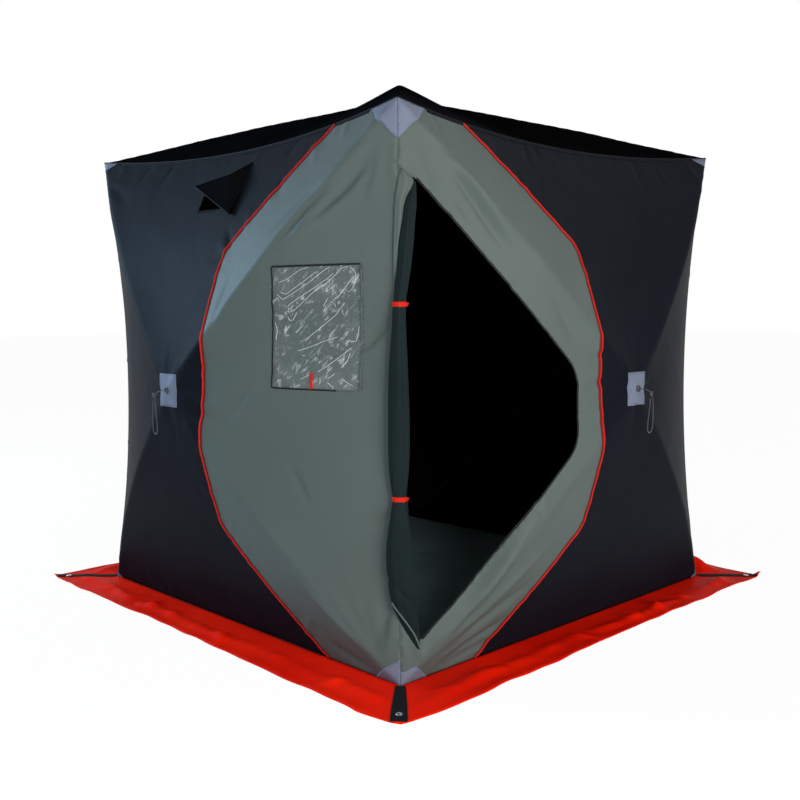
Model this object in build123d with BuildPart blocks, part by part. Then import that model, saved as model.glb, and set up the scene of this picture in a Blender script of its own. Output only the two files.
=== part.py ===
from build123d import *
import os
from math import pi, radians, tan

os.makedirs("parts", exist_ok=True)

# Driving dimensions, in millimetres
half_width = 900          # centre line to each bottom corner
corner_height = 1800      # ground to the roof's corners
hub_height = 895          # ground to the middle of a wall
hub_stand_out = 265       # how far a wall's hub is pushed out past its corners
roof_rise = 260           # how far the roof's hub is pushed up past its corners
wall_pole_bow = 45        # outward bend of a wall pole
roof_pole_bow = 3         # upward bend of a roof pole
corner_seam_bow = 73      # inward pull of the upright corner seams
eave_seam_bow = 77        # inward pull of the seams between wall and roof
panel_pull = 0.5          # share of a seam's pull that its panel follows

fabric = 3                # wall thickness
seam_gap = 1              # between the panels that are sewn together along the poles
ground_sheet = 3          # thickness of the floor and skirt
skirt_width = 200
strap_width = 35
strap_thickness = 2
strap_gap = 4             # wall's corner to the strap's inner end
patch_proud = 1.5         # reinforcement patches, over the wall
piping_proud = 5
piping_width = 9
zip_width = 14
zip_proud = 2

pole_radius = 5.5
pole_depth = 12           # pole's centre line under the wall's outer face
pole_start = 45           # hub's centre to a pole's inner end
pole_end_gap = 42         # corner point to a pole's outer end
socket_radius = 7.5
socket_from = 24          # hub's centre to a socket's closed end
socket_to = 82
bore_clearance = 0.25
pocket_radius = 7.6
pocket_overlap = 30
pocket_cap = 3

hub_radius = 40
hub_thickness = 20
hub_depth = 12            # hub's face under the tip of the wall
roof_hub_depth = 17
hub_edge = 4
hub_boss_radius = 15      # raised middle that the cord comes out of
hub_boss_height = 4
rim_radius = 8.3          # bead round each socket's mouth
rim_width = 6
pin_radius = 3            # pin across each socket's inner end
pin_reach = 12
pin_inset = 16            # pin's centre from the closed end
hub_patch_width = 105
hub_patch_height = 116
cord_hole = 7

anchor_inset = 45         # anchor eyelet in from the skirt's tip, along each side
eyelet_hole = 5
eyelet_rim = 11
eyelet_height = 2

far = 3000                # longer than anything here, for cuts

# Outlines on a wall, across from its middle towards the front corner, and up
piping_line = [(580, 1900), (186, 1384), (184, 1088), (167, 702), (188, 428), (550, -60)]
door_upright = 836        # upright side of the doorway
door_top = 1572
door_bottom = 138
door_side = 271           # far side of the doorway
door_side_top = 962
door_side_bottom = 720
door_rounding = 60
window_middle = (604, 1117)
window_size = (280, 386)
binding_width = 8
binding_proud = 2
pane_thickness = 1
tab_size = (9, 52)
vent_middle = (10, 1568)
vent_size = (200, 66)
vent_left = 128           # hood's open end, across the window wall
hood_hollow = 0.03        # share by which the hood's inside is smaller
front_top_patch = (100, 122)
rear_top_patch = (118, 62)
front_base_patch = (115, 92)
rear_base_patch = (48, 60)
door_base_patch = [(780, 0), (856, 61), (884, 46), (990, 46), (990, 0)]

corner_share = 0.45       # share of the shorter run that a cord's arc takes up
cord_radius = 1.75
flap_gap = 1
tie_heights = (1190, 585)
tie_width = 24
tie_thickness = 2
tie_clearance = 1.5


def moved(point, depth):
    """Moves a point outward by depth, away from the tent's middle axis."""
    grow = 1 + depth / half_width
    rise = 1 + depth / (corner_height - ground_sheet)
    return Vector(point.X * grow, point.Y * grow, ground_sheet + (point.Z - ground_sheet) * rise)


def corner(x_side, y_side, top):
    """One of the eight corners where poles end."""
    height = corner_height if top else ground_sheet
    return Vector(x_side * half_width, y_side * half_width, height)


def seam_pull(a, b):
    """How far the middle of the edge between two corners is pulled in."""
    middle = (a + b) * 0.5
    if abs(a.Z - b.Z) > 1:
        return Vector(-middle.X, -middle.Y, 0).normalized() * corner_seam_bow
    if a.Z > ground_sheet:
        return Vector(-middle.X, -middle.Y, -half_width).normalized() * eave_seam_bow
    return Vector(0, 0, 0)


def pole_bend(side, end):
    """Control point that bends a pole outward between its hub and a corner."""
    return (side["hub"] + end) * 0.5 + side["out"] * 2 * side["bow"]


def panel_net(side, a, b):
    """Control points of one three-sided panel, from the hub to the edge between two corners."""
    pull = seam_pull(a, b)
    pole_a, pole_b = pole_bend(side, a), pole_bend(side, b)
    belly = (pole_a + pole_b) * 0.5 + pull * 2 * panel_pull
    edge = (a + b) * 0.5 + pull * 2
    return [[side["hub"]] * 3, [pole_a, belly, pole_b], [a, edge, b]]


def fabric_layer(side, inner, outer):
    """A sheet over a whole side: four panels that meet on the poles and at the hub."""
    faces = []
    corners = side["corners"]
    for a, b in zip(corners, corners[1:] + corners[:1]):
        net = panel_net(side, a, b)
        for depth in (inner, outer):
            faces.append(Face.make_bezier_surface([[moved(p, depth) for p in row] for row in net]))
        rim = [[moved(p, depth) for p in net[2]] for depth in (outer, inner)]
        faces.append(Face.make_bezier_surface(rim))
    return Solid(Shell(faces))


def cut_layer(side, inner, outer, outline):
    """The part of a sheet that lies inside an outline drawn on its plane."""
    with BuildPart() as piece:
        add(fabric_layer(side, inner, outer))
        extrude(outline, amount=far, both=True, mode=Mode.INTERSECT)
    return piece.part


def wall_side(x_out, y_out):
    """Hub, corners and outward direction of one of the four walls."""
    out = Vector(x_out, y_out, 0)
    along = Vector(y_out, x_out, 0)
    first, second = out + along, out - along
    corners = [
        corner(first.X, first.Y, False),
        corner(first.X, first.Y, True),
        corner(second.X, second.Y, True),
        corner(second.X, second.Y, False),
    ]
    hub = out * (half_width + hub_stand_out) + Vector(0, 0, hub_height)
    return {"hub": hub, "corners": corners, "out": out, "bow": wall_pole_bow}


# The five sides that poles push out
roof_side = {
    "hub": Vector(0, 0, corner_height + roof_rise),
    "corners": [corner(x, y, True) for x, y in ((-1, -1), (1, -1), (1, 1), (-1, 1))],
    "out": Vector(0, 0, 1),
    "bow": roof_pole_bow,
}
sides = {
    "door_wall": wall_side(0, -1),
    "window_wall": wall_side(-1, 0),
    "side_wall": wall_side(1, 0),
    "back_wall": wall_side(0, 1),
    "roof": roof_side,
}

# Drawing planes: across towards the front corner on the first two walls, and up
planes = {
    "door_wall": Plane(origin=(0, 0, 0), x_dir=(-1, 0, 0), z_dir=(0, 1, 0)),
    "window_wall": Plane(origin=(0, 0, 0), x_dir=(0, -1, 0), z_dir=(-1, 0, 0)),
    "side_wall": Plane(origin=(0, 0, 0), x_dir=(0, 1, 0), z_dir=(1, 0, 0)),
    "back_wall": Plane(origin=(0, 0, 0), x_dir=(1, 0, 0), z_dir=(0, -1, 0)),
    "roof": Plane.XY,
}


def front_outline(plane):
    """Everything on the front corner's side of the piping."""
    with BuildSketch(plane) as sketch:
        with BuildLine():
            Polyline(piping_line + [(far, piping_line[-1][1]), (far, piping_line[0][1])], close=True)
        make_face()
    return sketch.sketch


def rectangle_outline(plane, middle, size):
    """A rectangle drawn on a wall's plane."""
    with BuildSketch(plane) as sketch:
        with Locations(middle):
            Rectangle(*size)
    return sketch.sketch


def ring_outline(plane, middle, size, width):
    """A frame of one width just outside a rectangle."""
    with BuildSketch(plane) as sketch:
        with Locations(middle):
            Rectangle(size[0] + 2 * width, size[1] + 2 * width)
            Rectangle(*size, mode=Mode.SUBTRACT)
    return sketch.sketch


def polygon_outline(plane, points):
    """A straight-sided patch drawn on a wall's plane."""
    with BuildSketch(plane) as sketch:
        with BuildLine():
            Polyline(points, close=True)
        make_face()
    return sketch.sketch


def pole_seams(name):
    """Narrow gaps where a side's four panels are sewn together, and a wall's hole for its cord."""
    side, plane = sides[name], planes[name]
    hub, *ends = [plane.to_local_coords(point) for point in [side["hub"]] + side["corners"]]
    beyond = [hub + (end - hub) * 1.1 for end in ends]
    with BuildSketch(plane) as sketch:
        for first, last in (beyond[0::2], beyond[1::2]):
            with BuildLine():
                Polyline((first.X, first.Y), (hub.X, hub.Y), (last.X, last.Y))
            trace(line_width=seam_gap)
        if name != "roof":
            with Locations((hub.X, hub.Y)):
                Circle(cord_hole)
    return sketch.sketch


def hub_hole(side):
    """Hole through the patch on a wall's tip that the pull cord leaves by."""
    with BuildPart() as hole:
        with BuildSketch(Plane(origin=side["hub"], z_dir=side["out"])):
            Circle(cord_hole)
        extrude(amount=hub_depth, both=True)
    return hole.part


# Doorway: one upright side and four sloping or short sides with rounded far corners
door_points = [
    (door_upright, door_bottom),
    (door_upright, door_top),
    (door_side, door_side_top),
    (door_side, door_side_bottom),
]
with BuildSketch(planes["door_wall"]) as doorway:
    with BuildLine():
        Polyline(door_points, close=True)
    make_face()
    fillet(doorway.vertices().sort_by(Axis.X)[:2], radius=door_rounding)

# Door wall, grey in front of the piping and black behind it
with BuildPart() as door_wall_grey_panel:
    add(cut_layer(sides["door_wall"], -fabric, 0, front_outline(planes["door_wall"])))
    extrude(doorway.sketch, amount=far, both=True, mode=Mode.SUBTRACT)
    extrude(pole_seams("door_wall"), amount=far, both=True, mode=Mode.SUBTRACT)
door_wall_grey_panel.part.label = "door_wall_grey_panel"
export_step(door_wall_grey_panel.part, "parts/door_wall_grey_panel.step")

with BuildPart() as door_wall_black_panel:
    add(fabric_layer(sides["door_wall"], -fabric, 0))
    extrude(front_outline(planes["door_wall"]), amount=far, both=True, mode=Mode.SUBTRACT)
    extrude(pole_seams("door_wall"), amount=far, both=True, mode=Mode.SUBTRACT)
door_wall_black_panel.part.label = "door_wall_black_panel"
export_step(door_wall_black_panel.part, "parts/door_wall_black_panel.step")

# Window wall, with the window in its grey part and the vent in its black part
with BuildPart() as window_wall_grey_panel:
    add(cut_layer(sides["window_wall"], -fabric, 0, front_outline(planes["window_wall"])))
    window_hole = rectangle_outline(planes["window_wall"], window_middle, window_size)
    extrude(window_hole, amount=far, both=True, mode=Mode.SUBTRACT)
    extrude(pole_seams("window_wall"), amount=far, both=True, mode=Mode.SUBTRACT)
window_wall_grey_panel.part.label = "window_wall_grey_panel"
export_step(window_wall_grey_panel.part, "parts/window_wall_grey_panel.step")

with BuildPart() as window_wall_black_panel:
    add(fabric_layer(sides["window_wall"], -fabric, 0))
    extrude(front_outline(planes["window_wall"]), amount=far, both=True, mode=Mode.SUBTRACT)
    vent_hole = rectangle_outline(planes["window_wall"], vent_middle, vent_size)
    extrude(vent_hole, amount=far, both=True, mode=Mode.SUBTRACT)
    extrude(pole_seams("window_wall"), amount=far, both=True, mode=Mode.SUBTRACT)
window_wall_black_panel.part.label = "window_wall_black_panel"
export_step(window_wall_black_panel.part, "parts/window_wall_black_panel.step")

# The two plain walls at the back
with BuildPart() as side_wall:
    add(fabric_layer(sides["side_wall"], -fabric, 0))
    extrude(pole_seams("side_wall"), amount=far, both=True, mode=Mode.SUBTRACT)
side_wall.part.label = "side_wall"
export_step(side_wall.part, "parts/side_wall.step")

with BuildPart() as back_wall:
    add(fabric_layer(sides["back_wall"], -fabric, 0))
    extrude(pole_seams("back_wall"), amount=far, both=True, mode=Mode.SUBTRACT)
back_wall.part.label = "back_wall"
export_step(back_wall.part, "parts/back_wall.step")

with BuildPart() as roof:
    add(fabric_layer(sides["roof"], -fabric, 0))
    extrude(pole_seams("roof"), amount=far, both=True, mode=Mode.SUBTRACT)
roof.part.label = "roof"
export_step(roof.part, "parts/roof.step")

# Floor sheet between the walls' inner faces
floor_half = half_width - fabric
with BuildPart() as floor_sheet:
    with BuildSketch():
        Rectangle(2 * floor_half, 2 * floor_half)
    extrude(amount=ground_sheet)
floor_sheet.part.label = "floor_sheet"
export_step(floor_sheet.part, "parts/floor_sheet.step")

# Anchor eyelet positions, one at each corner of the skirt
skirt_half = half_width + skirt_width
anchor_half = skirt_half - anchor_inset
anchors = GridLocations(2 * anchor_half, 2 * anchor_half, 2, 2)

# Skirt: four mitred flaps flat on the ground, which the walls stand on
skirt_turns = {"door_skirt": 0, "side_skirt": 90, "back_skirt": 180, "window_skirt": 270}
for name, turn in skirt_turns.items():
    with BuildPart() as skirt:
        with BuildSketch(Plane.XY.rotated((0, 0, turn))):
            with BuildLine():
                Polyline(
                    (-floor_half, -floor_half),
                    (-skirt_half, -skirt_half),
                    (skirt_half, -skirt_half),
                    (floor_half, -floor_half),
                    close=True,
                )
            make_face()
            with anchors:
                Circle(eyelet_hole, mode=Mode.SUBTRACT)
        extrude(amount=ground_sheet)
    skirt.part.label = name
    export_step(skirt.part, f"parts/{name}.step")

# Webbing straps along the skirt's four mitres, from the wall's corner to the tip
strap_inner = 2 * (half_width + strap_gap)
with BuildPart() as corner_straps:
    with BuildSketch(Plane.XY.offset(ground_sheet)):
        Rectangle(far, strap_width, rotation=45)
        Rectangle(far, strap_width, rotation=-45)
        Rectangle(2 * skirt_half, 2 * skirt_half, mode=Mode.INTERSECT)
        Rectangle(strap_inner, strap_inner, mode=Mode.SUBTRACT)
        with anchors:
            Circle(eyelet_hole, mode=Mode.SUBTRACT)
    extrude(amount=strap_thickness)
corner_straps.part.label = "corner_straps"
export_step(corner_straps.part, "parts/corner_straps.step")

# Metal eyelets pressed through the straps
strap_top = ground_sheet + strap_thickness
with BuildPart() as anchor_eyelets:
    with BuildSketch(Plane.XY.offset(strap_top)):
        with anchors:
            Circle(eyelet_rim)
            Circle(eyelet_hole, mode=Mode.SUBTRACT)
    extrude(amount=eyelet_height)
    chamfer(anchor_eyelets.edges().group_by(Axis.Z)[-1], length=eyelet_height / 3)
anchor_eyelets.part.label = "anchor_eyelets"
export_step(anchor_eyelets.part, "parts/anchor_eyelets.step")


def piping_outline(plane):
    """A narrow band along the piping line."""
    with BuildSketch(plane) as sketch:
        with BuildLine():
            Polyline(piping_line)
        trace(line_width=piping_width)
    return sketch.sketch


# Red piping between the grey and the black fabric
for name in ("door_wall", "window_wall"):
    with BuildPart() as seam_piping:
        add(cut_layer(sides[name], 0, piping_proud, piping_outline(planes[name])))
    seam_piping.part.label = f"{name}_piping"
    export_step(seam_piping.part, f"parts/{name}_piping.step")

# Zip along the doorway's sloping and far sides
with BuildSketch(planes["door_wall"]) as zip_band:
    offset(doorway.sketch_local, amount=zip_width)
    add(doorway.sketch_local, mode=Mode.SUBTRACT)
    with Locations((door_upright + far / 2 - 2, 0)):
        Rectangle(far, far * 2, mode=Mode.SUBTRACT)
with BuildPart() as door_zip:
    add(cut_layer(sides["door_wall"], 0, zip_proud, zip_band.sketch))
door_zip.part.label = "door_zip"
export_step(door_zip.part, "parts/door_zip.step")

# Window: clear sheet in the opening, a fabric blind behind it, a binding and a pull tab
window_wall = sides["window_wall"]
window_plane = planes["window_wall"]
with BuildPart() as window_pane:
    add(cut_layer(window_wall, -pane_thickness, 0, window_hole))
window_pane.part.label = "window_pane"
export_step(window_pane.part, "parts/window_pane.step")

blind_size = (window_size[0] + 40, window_size[1] + 40)
with BuildPart() as window_blind:
    blind_outline = rectangle_outline(window_plane, window_middle, blind_size)
    add(cut_layer(window_wall, -fabric - 1.5, -fabric, blind_outline))
window_blind.part.label = "window_blind"
export_step(window_blind.part, "parts/window_blind.step")

with BuildPart() as window_binding:
    binding_outline = ring_outline(window_plane, window_middle, window_size, binding_width)
    add(cut_layer(window_wall, 0, binding_proud, binding_outline))
window_binding.part.label = "window_binding"
export_step(window_binding.part, "parts/window_binding.step")

tab_middle = (window_middle[0] - 4, window_middle[1] - window_size[1] / 2 + tab_size[1] / 2)
with BuildPart() as window_pull_tab:
    tab_outline = rectangle_outline(window_plane, tab_middle, tab_size)
    add(cut_layer(window_wall, 0, binding_proud, tab_outline))
window_pull_tab.part.label = "window_pull_tab"
export_step(window_pull_tab.part, "parts/window_pull_tab.step")

# Vent hood: flat facets between four points on the wall and three lifted off it
hood_foot = Vector(-950, vent_left, 1519)
hood_points = {
    "top_left": Vector(-880, 140, 1645),
    "top_right": Vector(-845, -161, 1716),
    "low_right": Vector(-955, -150, 1505),
    "foot": hood_foot,
    "lip_left": Vector(-950, vent_left, 1628),
    "lip_right": Vector(-959, -108, 1646),
    "lip_low": Vector(-990, -145, 1507),
}
hood_facets = [
    ("top_left", "top_right", "lip_right"),
    ("top_left", "lip_right", "lip_left"),
    ("top_right", "low_right", "lip_low"),
    ("top_right", "lip_low", "lip_right"),
    ("lip_left", "lip_right", "lip_low"),
    ("lip_left", "lip_low", "foot"),
    ("lip_low", "low_right", "foot"),
    ("top_left", "lip_left", "foot"),
    ("top_left", "low_right", "top_right"),
    ("top_left", "foot", "low_right"),
]


def hood_block(size):
    """The hood's outer form, or one shrunk towards its foot, which leaves the bottom open."""
    points = {name: hood_foot + (p - hood_foot) * size for name, p in hood_points.items()}
    facets = [Face(Wire.make_polygon([points[n] for n in names])) for names in hood_facets]
    return Solid(Shell(facets))


with BuildPart() as vent_hood:
    add(hood_block(1))
    add(hood_block(1 - hood_hollow), mode=Mode.SUBTRACT)
    add(fabric_layer(window_wall, -half_width / 4, 0), mode=Mode.SUBTRACT)
vent_hood.part.label = "vent_hood"
export_step(vent_hood.part, "parts/vent_hood.step")


# Reinforcement patches round the pole ends and the hubs
def patch_group(label, outlines):
    """One node of patches, each a name of a side with an outline on it."""
    with BuildPart() as group:
        for side_name, outline in outlines:
            add(cut_layer(sides[side_name], 0, patch_proud, outline))
            if side_name != "roof":
                add(hub_hole(sides[side_name]), mode=Mode.SUBTRACT)
    group.part.label = label
    export_step(group.part, f"parts/{label}.step")


hub_patch_size = (hub_patch_width, hub_patch_height)
hub_outlines = []
for name, plane in planes.items():
    middle = (0, 0) if name == "roof" else (0, hub_height)
    hub_outlines.append((name, rectangle_outline(plane, middle, hub_patch_size)))
patch_group("hub_patches", hub_outlines)


def corner_triangle(plane, x_side, across, up, top):
    """Triangle in a wall's corner, from a width along the edge to a height up the seam."""
    corner_point = (x_side * half_width, corner_height if top else 0)
    along_edge = (x_side * (half_width - across), corner_point[1])
    along_seam = (corner_point[0], corner_point[1] + (-up if top else up))
    beyond = (1.1 * corner_point[0], corner_point[1] + (far if top else -far))
    if top:
        outside = [(1.1 * corner_point[0], along_seam[1]), beyond, (along_edge[0], beyond[1])]
    else:
        outside = [(1.1 * corner_point[0], along_seam[1]), (1.1 * corner_point[0], 0)]
    return polygon_outline(plane, [along_edge, along_seam] + outside)


top_outlines = []
base_outlines = []
for name, plane in list(planes.items())[:4]:
    for x_side in (-1, 1):
        front = x_side == 1 and name in ("door_wall", "window_wall")
        top_size = front_top_patch if front else rear_top_patch
        base_size = front_base_patch if front else rear_base_patch
        top_outlines.append((name, corner_triangle(plane, x_side, *top_size, True)))
        if front and name == "door_wall":
            base_outlines.append((name, polygon_outline(plane, door_base_patch)))
        else:
            base_outlines.append((name, corner_triangle(plane, x_side, *base_size, False)))
patch_group("top_corner_patches", top_outlines)
patch_group("base_corner_patches", base_outlines)


# Frame: five hubs, each with four bent poles that end in pockets at the corners
def on_pole(side, end, share):
    """Point on a pole's centre line, a share of the way from its hub to a corner."""
    bend = pole_bend(side, end)
    point = side["hub"] * (1 - share) ** 2 + bend * 2 * share * (1 - share) + end * share**2
    return moved(point, -pole_depth)


def pole_points(side, end):
    """Inner end, middle and outer end of one pole's arc."""
    bend = pole_bend(side, end)
    first = pole_start / (2 * (bend - side["hub"]).length)
    last = 1 - pole_end_gap / (2 * (end - bend).length)
    return [on_pole(side, end, share) for share in (first, (first + last) / 2, last)]


def rod(start, direction, length, radius, mode=Mode.ADD):
    """A round rod from a point along a direction, added to the part being built."""
    with BuildSketch(Plane(origin=start, z_dir=direction)) as section:
        Circle(radius)
    extrude(section.sketch, amount=length, mode=mode)


bore_radius = pole_radius + bore_clearance
pocket_parts = {True: [], False: []}
for name, side in sides.items():
    lines = [ThreePointArc(*pole_points(side, end)) for end in side["corners"]]

    with BuildPart() as poles:
        for line in lines:
            with BuildSketch(Plane(origin=line @ 0, z_dir=line % 0)):
                Circle(pole_radius)
            sweep(path=line)
    poles.part.label = f"{name}_poles"
    export_step(poles.part, f"parts/{name}_poles.step")

    # Disc with a raised middle, and for each pole a socket with a rim and a pin across it
    with BuildPart() as hub:
        face_depth = roof_hub_depth if name == "roof" else hub_depth
        face_middle = side["hub"] - side["out"] * face_depth
        rod(face_middle, -side["out"], hub_thickness, hub_radius)
        chamfer(hub.edges().filter_by(GeomType.CIRCLE), length=hub_edge)
        rod(face_middle, side["out"], hub_boss_height, hub_boss_radius)
        for line in lines:
            along = line % 0
            pin_way = along.cross(side["out"]).normalized()
            closed_end = line @ 0 - along * (pole_start - socket_from)
            rod(closed_end, along, socket_to - socket_from, socket_radius)
            rod(closed_end + along * (socket_to - socket_from), -along, rim_width, rim_radius)
            rod(closed_end + along * pin_inset - pin_way * pin_reach, pin_way, 2 * pin_reach, pin_radius)
        for line in lines:
            rod(line @ 0, line % 0, socket_to - pole_start, bore_radius, Mode.SUBTRACT)
    hub.part.label = f"{name}_hub"
    export_step(hub.part, f"parts/{name}_hub.step")

    for line, end in zip(lines, side["corners"]):
        with BuildPart() as pocket:
            back = line % 1 * -1
            rod(line @ 1 - back * pocket_cap, back, pocket_overlap + pocket_cap, pocket_radius)
            rod(line @ 1, back, pocket_overlap, bore_radius, Mode.SUBTRACT)
        pocket_parts[end.Z > ground_sheet].append(pocket.part)

for top, label in ((True, "top_pole_pockets"), (False, "base_pole_pockets")):
    with BuildPart() as pockets:
        add(pocket_parts[top])
    pockets.part.label = label
    export_step(pockets.part, f"parts/{label}.step")

# Pull cords: out of each wall's tip, down, round and back up to a knot
# Each point is outward from the tip, across and up
cord_route = [
    (hub_boss_height - hub_depth, 0, 0),
    (12, 0, 0),
    (35, 1, -1),
    (50, 5, -15),
    (53, 10, -42),
    (52, 14, -76),
    (50, 16, -110),
    (49, 15, -134),
    (48, 10, -147),
    (48, -3, -151),
    (48, -13, -143),
    (49, -15, -124),
    (50, -12, -92),
    (52, -8, -60),
    (52, -4, -30),
]


def rounded_radii(points):
    """Arc radius at each corner of a route, as large as its two runs allow."""
    radii = []
    for before, at, after in zip(points, points[1:], points[2:]):
        turn = (at - before).get_angle(after - at)
        run = min((at - before).length, (after - at).length)
        radii.append(corner_share * run / tan(radians(turn / 2)))
    return radii


for name in list(sides)[:4]:
    side = sides[name]
    across = Vector(0, 0, 1).cross(side["out"])
    route = [side["hub"] + side["out"] * o + across * a + Vector(0, 0, u) for o, a, u in cord_route]
    radii = rounded_radii(route)
    with BuildPart() as pull_cord:
        with BuildLine() as path:
            FilletPolyline(*route, radius=radii)
        centre_line = path.wire()
        with BuildSketch(Plane(origin=centre_line @ 0, z_dir=centre_line % 0)):
            Circle(cord_radius)
        sweep(path=centre_line)
    pull_cord.part.label = f"{name}_pull_cord"
    export_step(pull_cord.part, f"parts/{name}_pull_cord.step")
    length = centre_line.length
    print(name, "cord length", round(length), "smallest radius", round(min(radii), 1))
    print("volume over section times length", round(pull_cord.part.volume / (pi * cord_radius**2 * length), 3))

# Door flap rolled up against the front corner, and the two ties round it
front_seam = [corner(-1, -1, False), corner(-1, -1, True)]
diagonal = Vector(-1, -1, 0).normalized()


def seam_point(height):
    """Outer edge of the front corner at a height."""
    low, high = front_seam
    share = (height - ground_sheet) / (corner_height - ground_sheet)
    bend = (low + high) * 0.5 + seam_pull(low, high) * 2
    return low * (1 - share) ** 2 + bend * 2 * share * (1 - share) + high * share**2


def flap_plane(height, stand_off):
    """Level plane just outside the front corner."""
    return Plane(origin=seam_point(height) + diagonal * stand_off, x_dir=(1, -1, 0), z_dir=(0, 0, 1))


# Height, half width and half depth of the rolled flap
flap_sections = [
    (1560, 7, 5),
    (1380, 15, 10),
    (tie_heights[0], 19, 13),
    (980, 27, 16),
    (800, 32, 17),
    (tie_heights[1], 20, 14),
    (430, 43, 18),
    (270, 42, 15),
    (160, 18, 7),
]
with BuildPart() as door_flap:
    for height, half_across, half_deep in flap_sections:
        with BuildSketch(flap_plane(height, half_deep + flap_gap)):
            Ellipse(half_across, half_deep)
    loft(ruled=True)
door_flap.part.label = "door_flap"
export_step(door_flap.part, "parts/door_flap.step")

with BuildPart() as door_ties:
    for height, half_across, half_deep in flap_sections:
        if height in tie_heights:
            with BuildSketch(flap_plane(height, half_deep + flap_gap)):
                Ellipse(half_across + tie_clearance + tie_thickness, half_deep + tie_clearance + tie_thickness)
                Ellipse(half_across + tie_clearance, half_deep + tie_clearance, mode=Mode.SUBTRACT)
            extrude(amount=tie_width / 2, both=True)
    for name in ("door_wall", "window_wall"):
        add(fabric_layer(sides[name], -half_width / 4, 0), mode=Mode.SUBTRACT)
door_ties.part.label = "door_ties"
export_step(door_ties.part, "parts/door_ties.step")
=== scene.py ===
"""Looks of a pop-up ice fishing shelter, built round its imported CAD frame.

The cloth follows the CAD's own rule: each side is four three-sided panels, from a hub to the edges
between its corners. Lengths are in metres, +Z is up, the door wall faces -Y and the window wall -X.
"""

import logging
from collections.abc import Callable, Sequence
from dataclasses import dataclass, field
from enum import Enum
from math import ceil, cos, pi, radians, sin
from typing import Protocol

import bpy
import numpy as np
from mathutils import Matrix, Vector
from mathutils.geometry import delaunay_2d_cdt
from mathutils.kdtree import KDTree


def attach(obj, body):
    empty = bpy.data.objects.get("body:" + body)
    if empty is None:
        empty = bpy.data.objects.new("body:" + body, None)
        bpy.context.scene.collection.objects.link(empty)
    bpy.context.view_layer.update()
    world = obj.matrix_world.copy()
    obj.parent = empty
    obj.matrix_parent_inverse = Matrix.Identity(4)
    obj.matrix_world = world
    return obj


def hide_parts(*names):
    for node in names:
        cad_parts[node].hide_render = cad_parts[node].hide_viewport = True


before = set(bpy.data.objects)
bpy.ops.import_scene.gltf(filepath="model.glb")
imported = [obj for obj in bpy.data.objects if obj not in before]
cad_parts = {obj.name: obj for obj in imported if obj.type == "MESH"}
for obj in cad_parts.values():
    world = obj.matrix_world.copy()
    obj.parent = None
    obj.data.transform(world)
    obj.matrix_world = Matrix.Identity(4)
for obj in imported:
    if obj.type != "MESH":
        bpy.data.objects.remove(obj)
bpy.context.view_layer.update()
BODY = "root"
CLOTH_UV = "cloth"
log = logging.getLogger("shelter")

Place = tuple[float, float]
Colour = tuple[float, float, float]

UP = np.array([0.0, 0.0, 1.0])
# Ways at the front corner, seen from outside: to the right of its diagonal, and out along it
RIGHT = np.array([1, -1, 0]) / 2**0.5
AHEAD = np.array([-1, -1, 0]) / 2**0.5
CORNER_SIGNS = ((-1, -1), (1, -1), (1, 1), (-1, 1))


# Shader maths written as Python expressions
class Signal:
    """A node's output that joins in Python sums, each of which adds a Math node."""

    def __init__(self, tree: bpy.types.NodeTree, socket: bpy.types.NodeSocket) -> None:
        """Wraps one output of a node."""
        self.tree = tree
        self.socket = socket

    def _math(self, operation: str, *values: "Signal | float") -> "Signal":
        """Adds a Math node.

        Args:
            operation: the Math node's operation.
            values: what goes into its sockets, in order.

        Returns:
            The node's output.
        """
        node = self.tree.nodes.new("ShaderNodeMath")
        node.operation = operation
        for place, value in zip(node.inputs, values):
            if isinstance(value, Signal):
                self.tree.links.new(value.socket, place)
            else:
                place.default_value = value
        return Signal(self.tree, node.outputs[0])

    def __add__(self, other: "Signal | float") -> "Signal":
        """Sum."""
        return self._math("ADD", self, other)

    __radd__ = __add__

    def __sub__(self, other: "Signal | float") -> "Signal":
        """Difference."""
        return self._math("SUBTRACT", self, other)

    def __rsub__(self, other: float) -> "Signal":
        """Difference from a number."""
        return self._math("SUBTRACT", other, self)

    def __mul__(self, other: "Signal | float") -> "Signal":
        """Product."""
        return self._math("MULTIPLY", self, other)

    __rmul__ = __mul__

    def __abs__(self) -> "Signal":
        """Absolute value."""
        return self._math("ABSOLUTE", self)

    def sine(self) -> "Signal":
        """Sine of an angle in radians."""
        return self._math("SINE", self)


Value = Signal | float | tuple


class Nodes:
    """A node tree whose nodes one method makes."""

    def __init__(self, tree: bpy.types.NodeTree) -> None:
        """Keeps the tree."""
        self.tree = tree

    def node(self, kind: str, settings: dict[str, object] | None = None,
             values: dict[str | int, Value] | None = None) -> bpy.types.Node:
        """Makes a node of any other kind.

        Args:
            kind: the node's type.
            settings: its properties, which are set first.
            values: numbers, colours or signals for its sockets, by name or index.

        Returns:
            The new node.
        """
        node = self.tree.nodes.new(kind)
        for name, value in (settings or {}).items():
            setattr(node, name, value)
        for name, value in (values or {}).items():
            if isinstance(value, Signal):
                self.tree.links.new(value.socket, node.inputs[name])
            else:
                node.inputs[name].default_value = value
        return node

    def out(self, node: bpy.types.Node, name: str | int = 0) -> Signal:
        """One output of a node, as a signal."""
        return Signal(self.tree, node.outputs[name])


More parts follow.
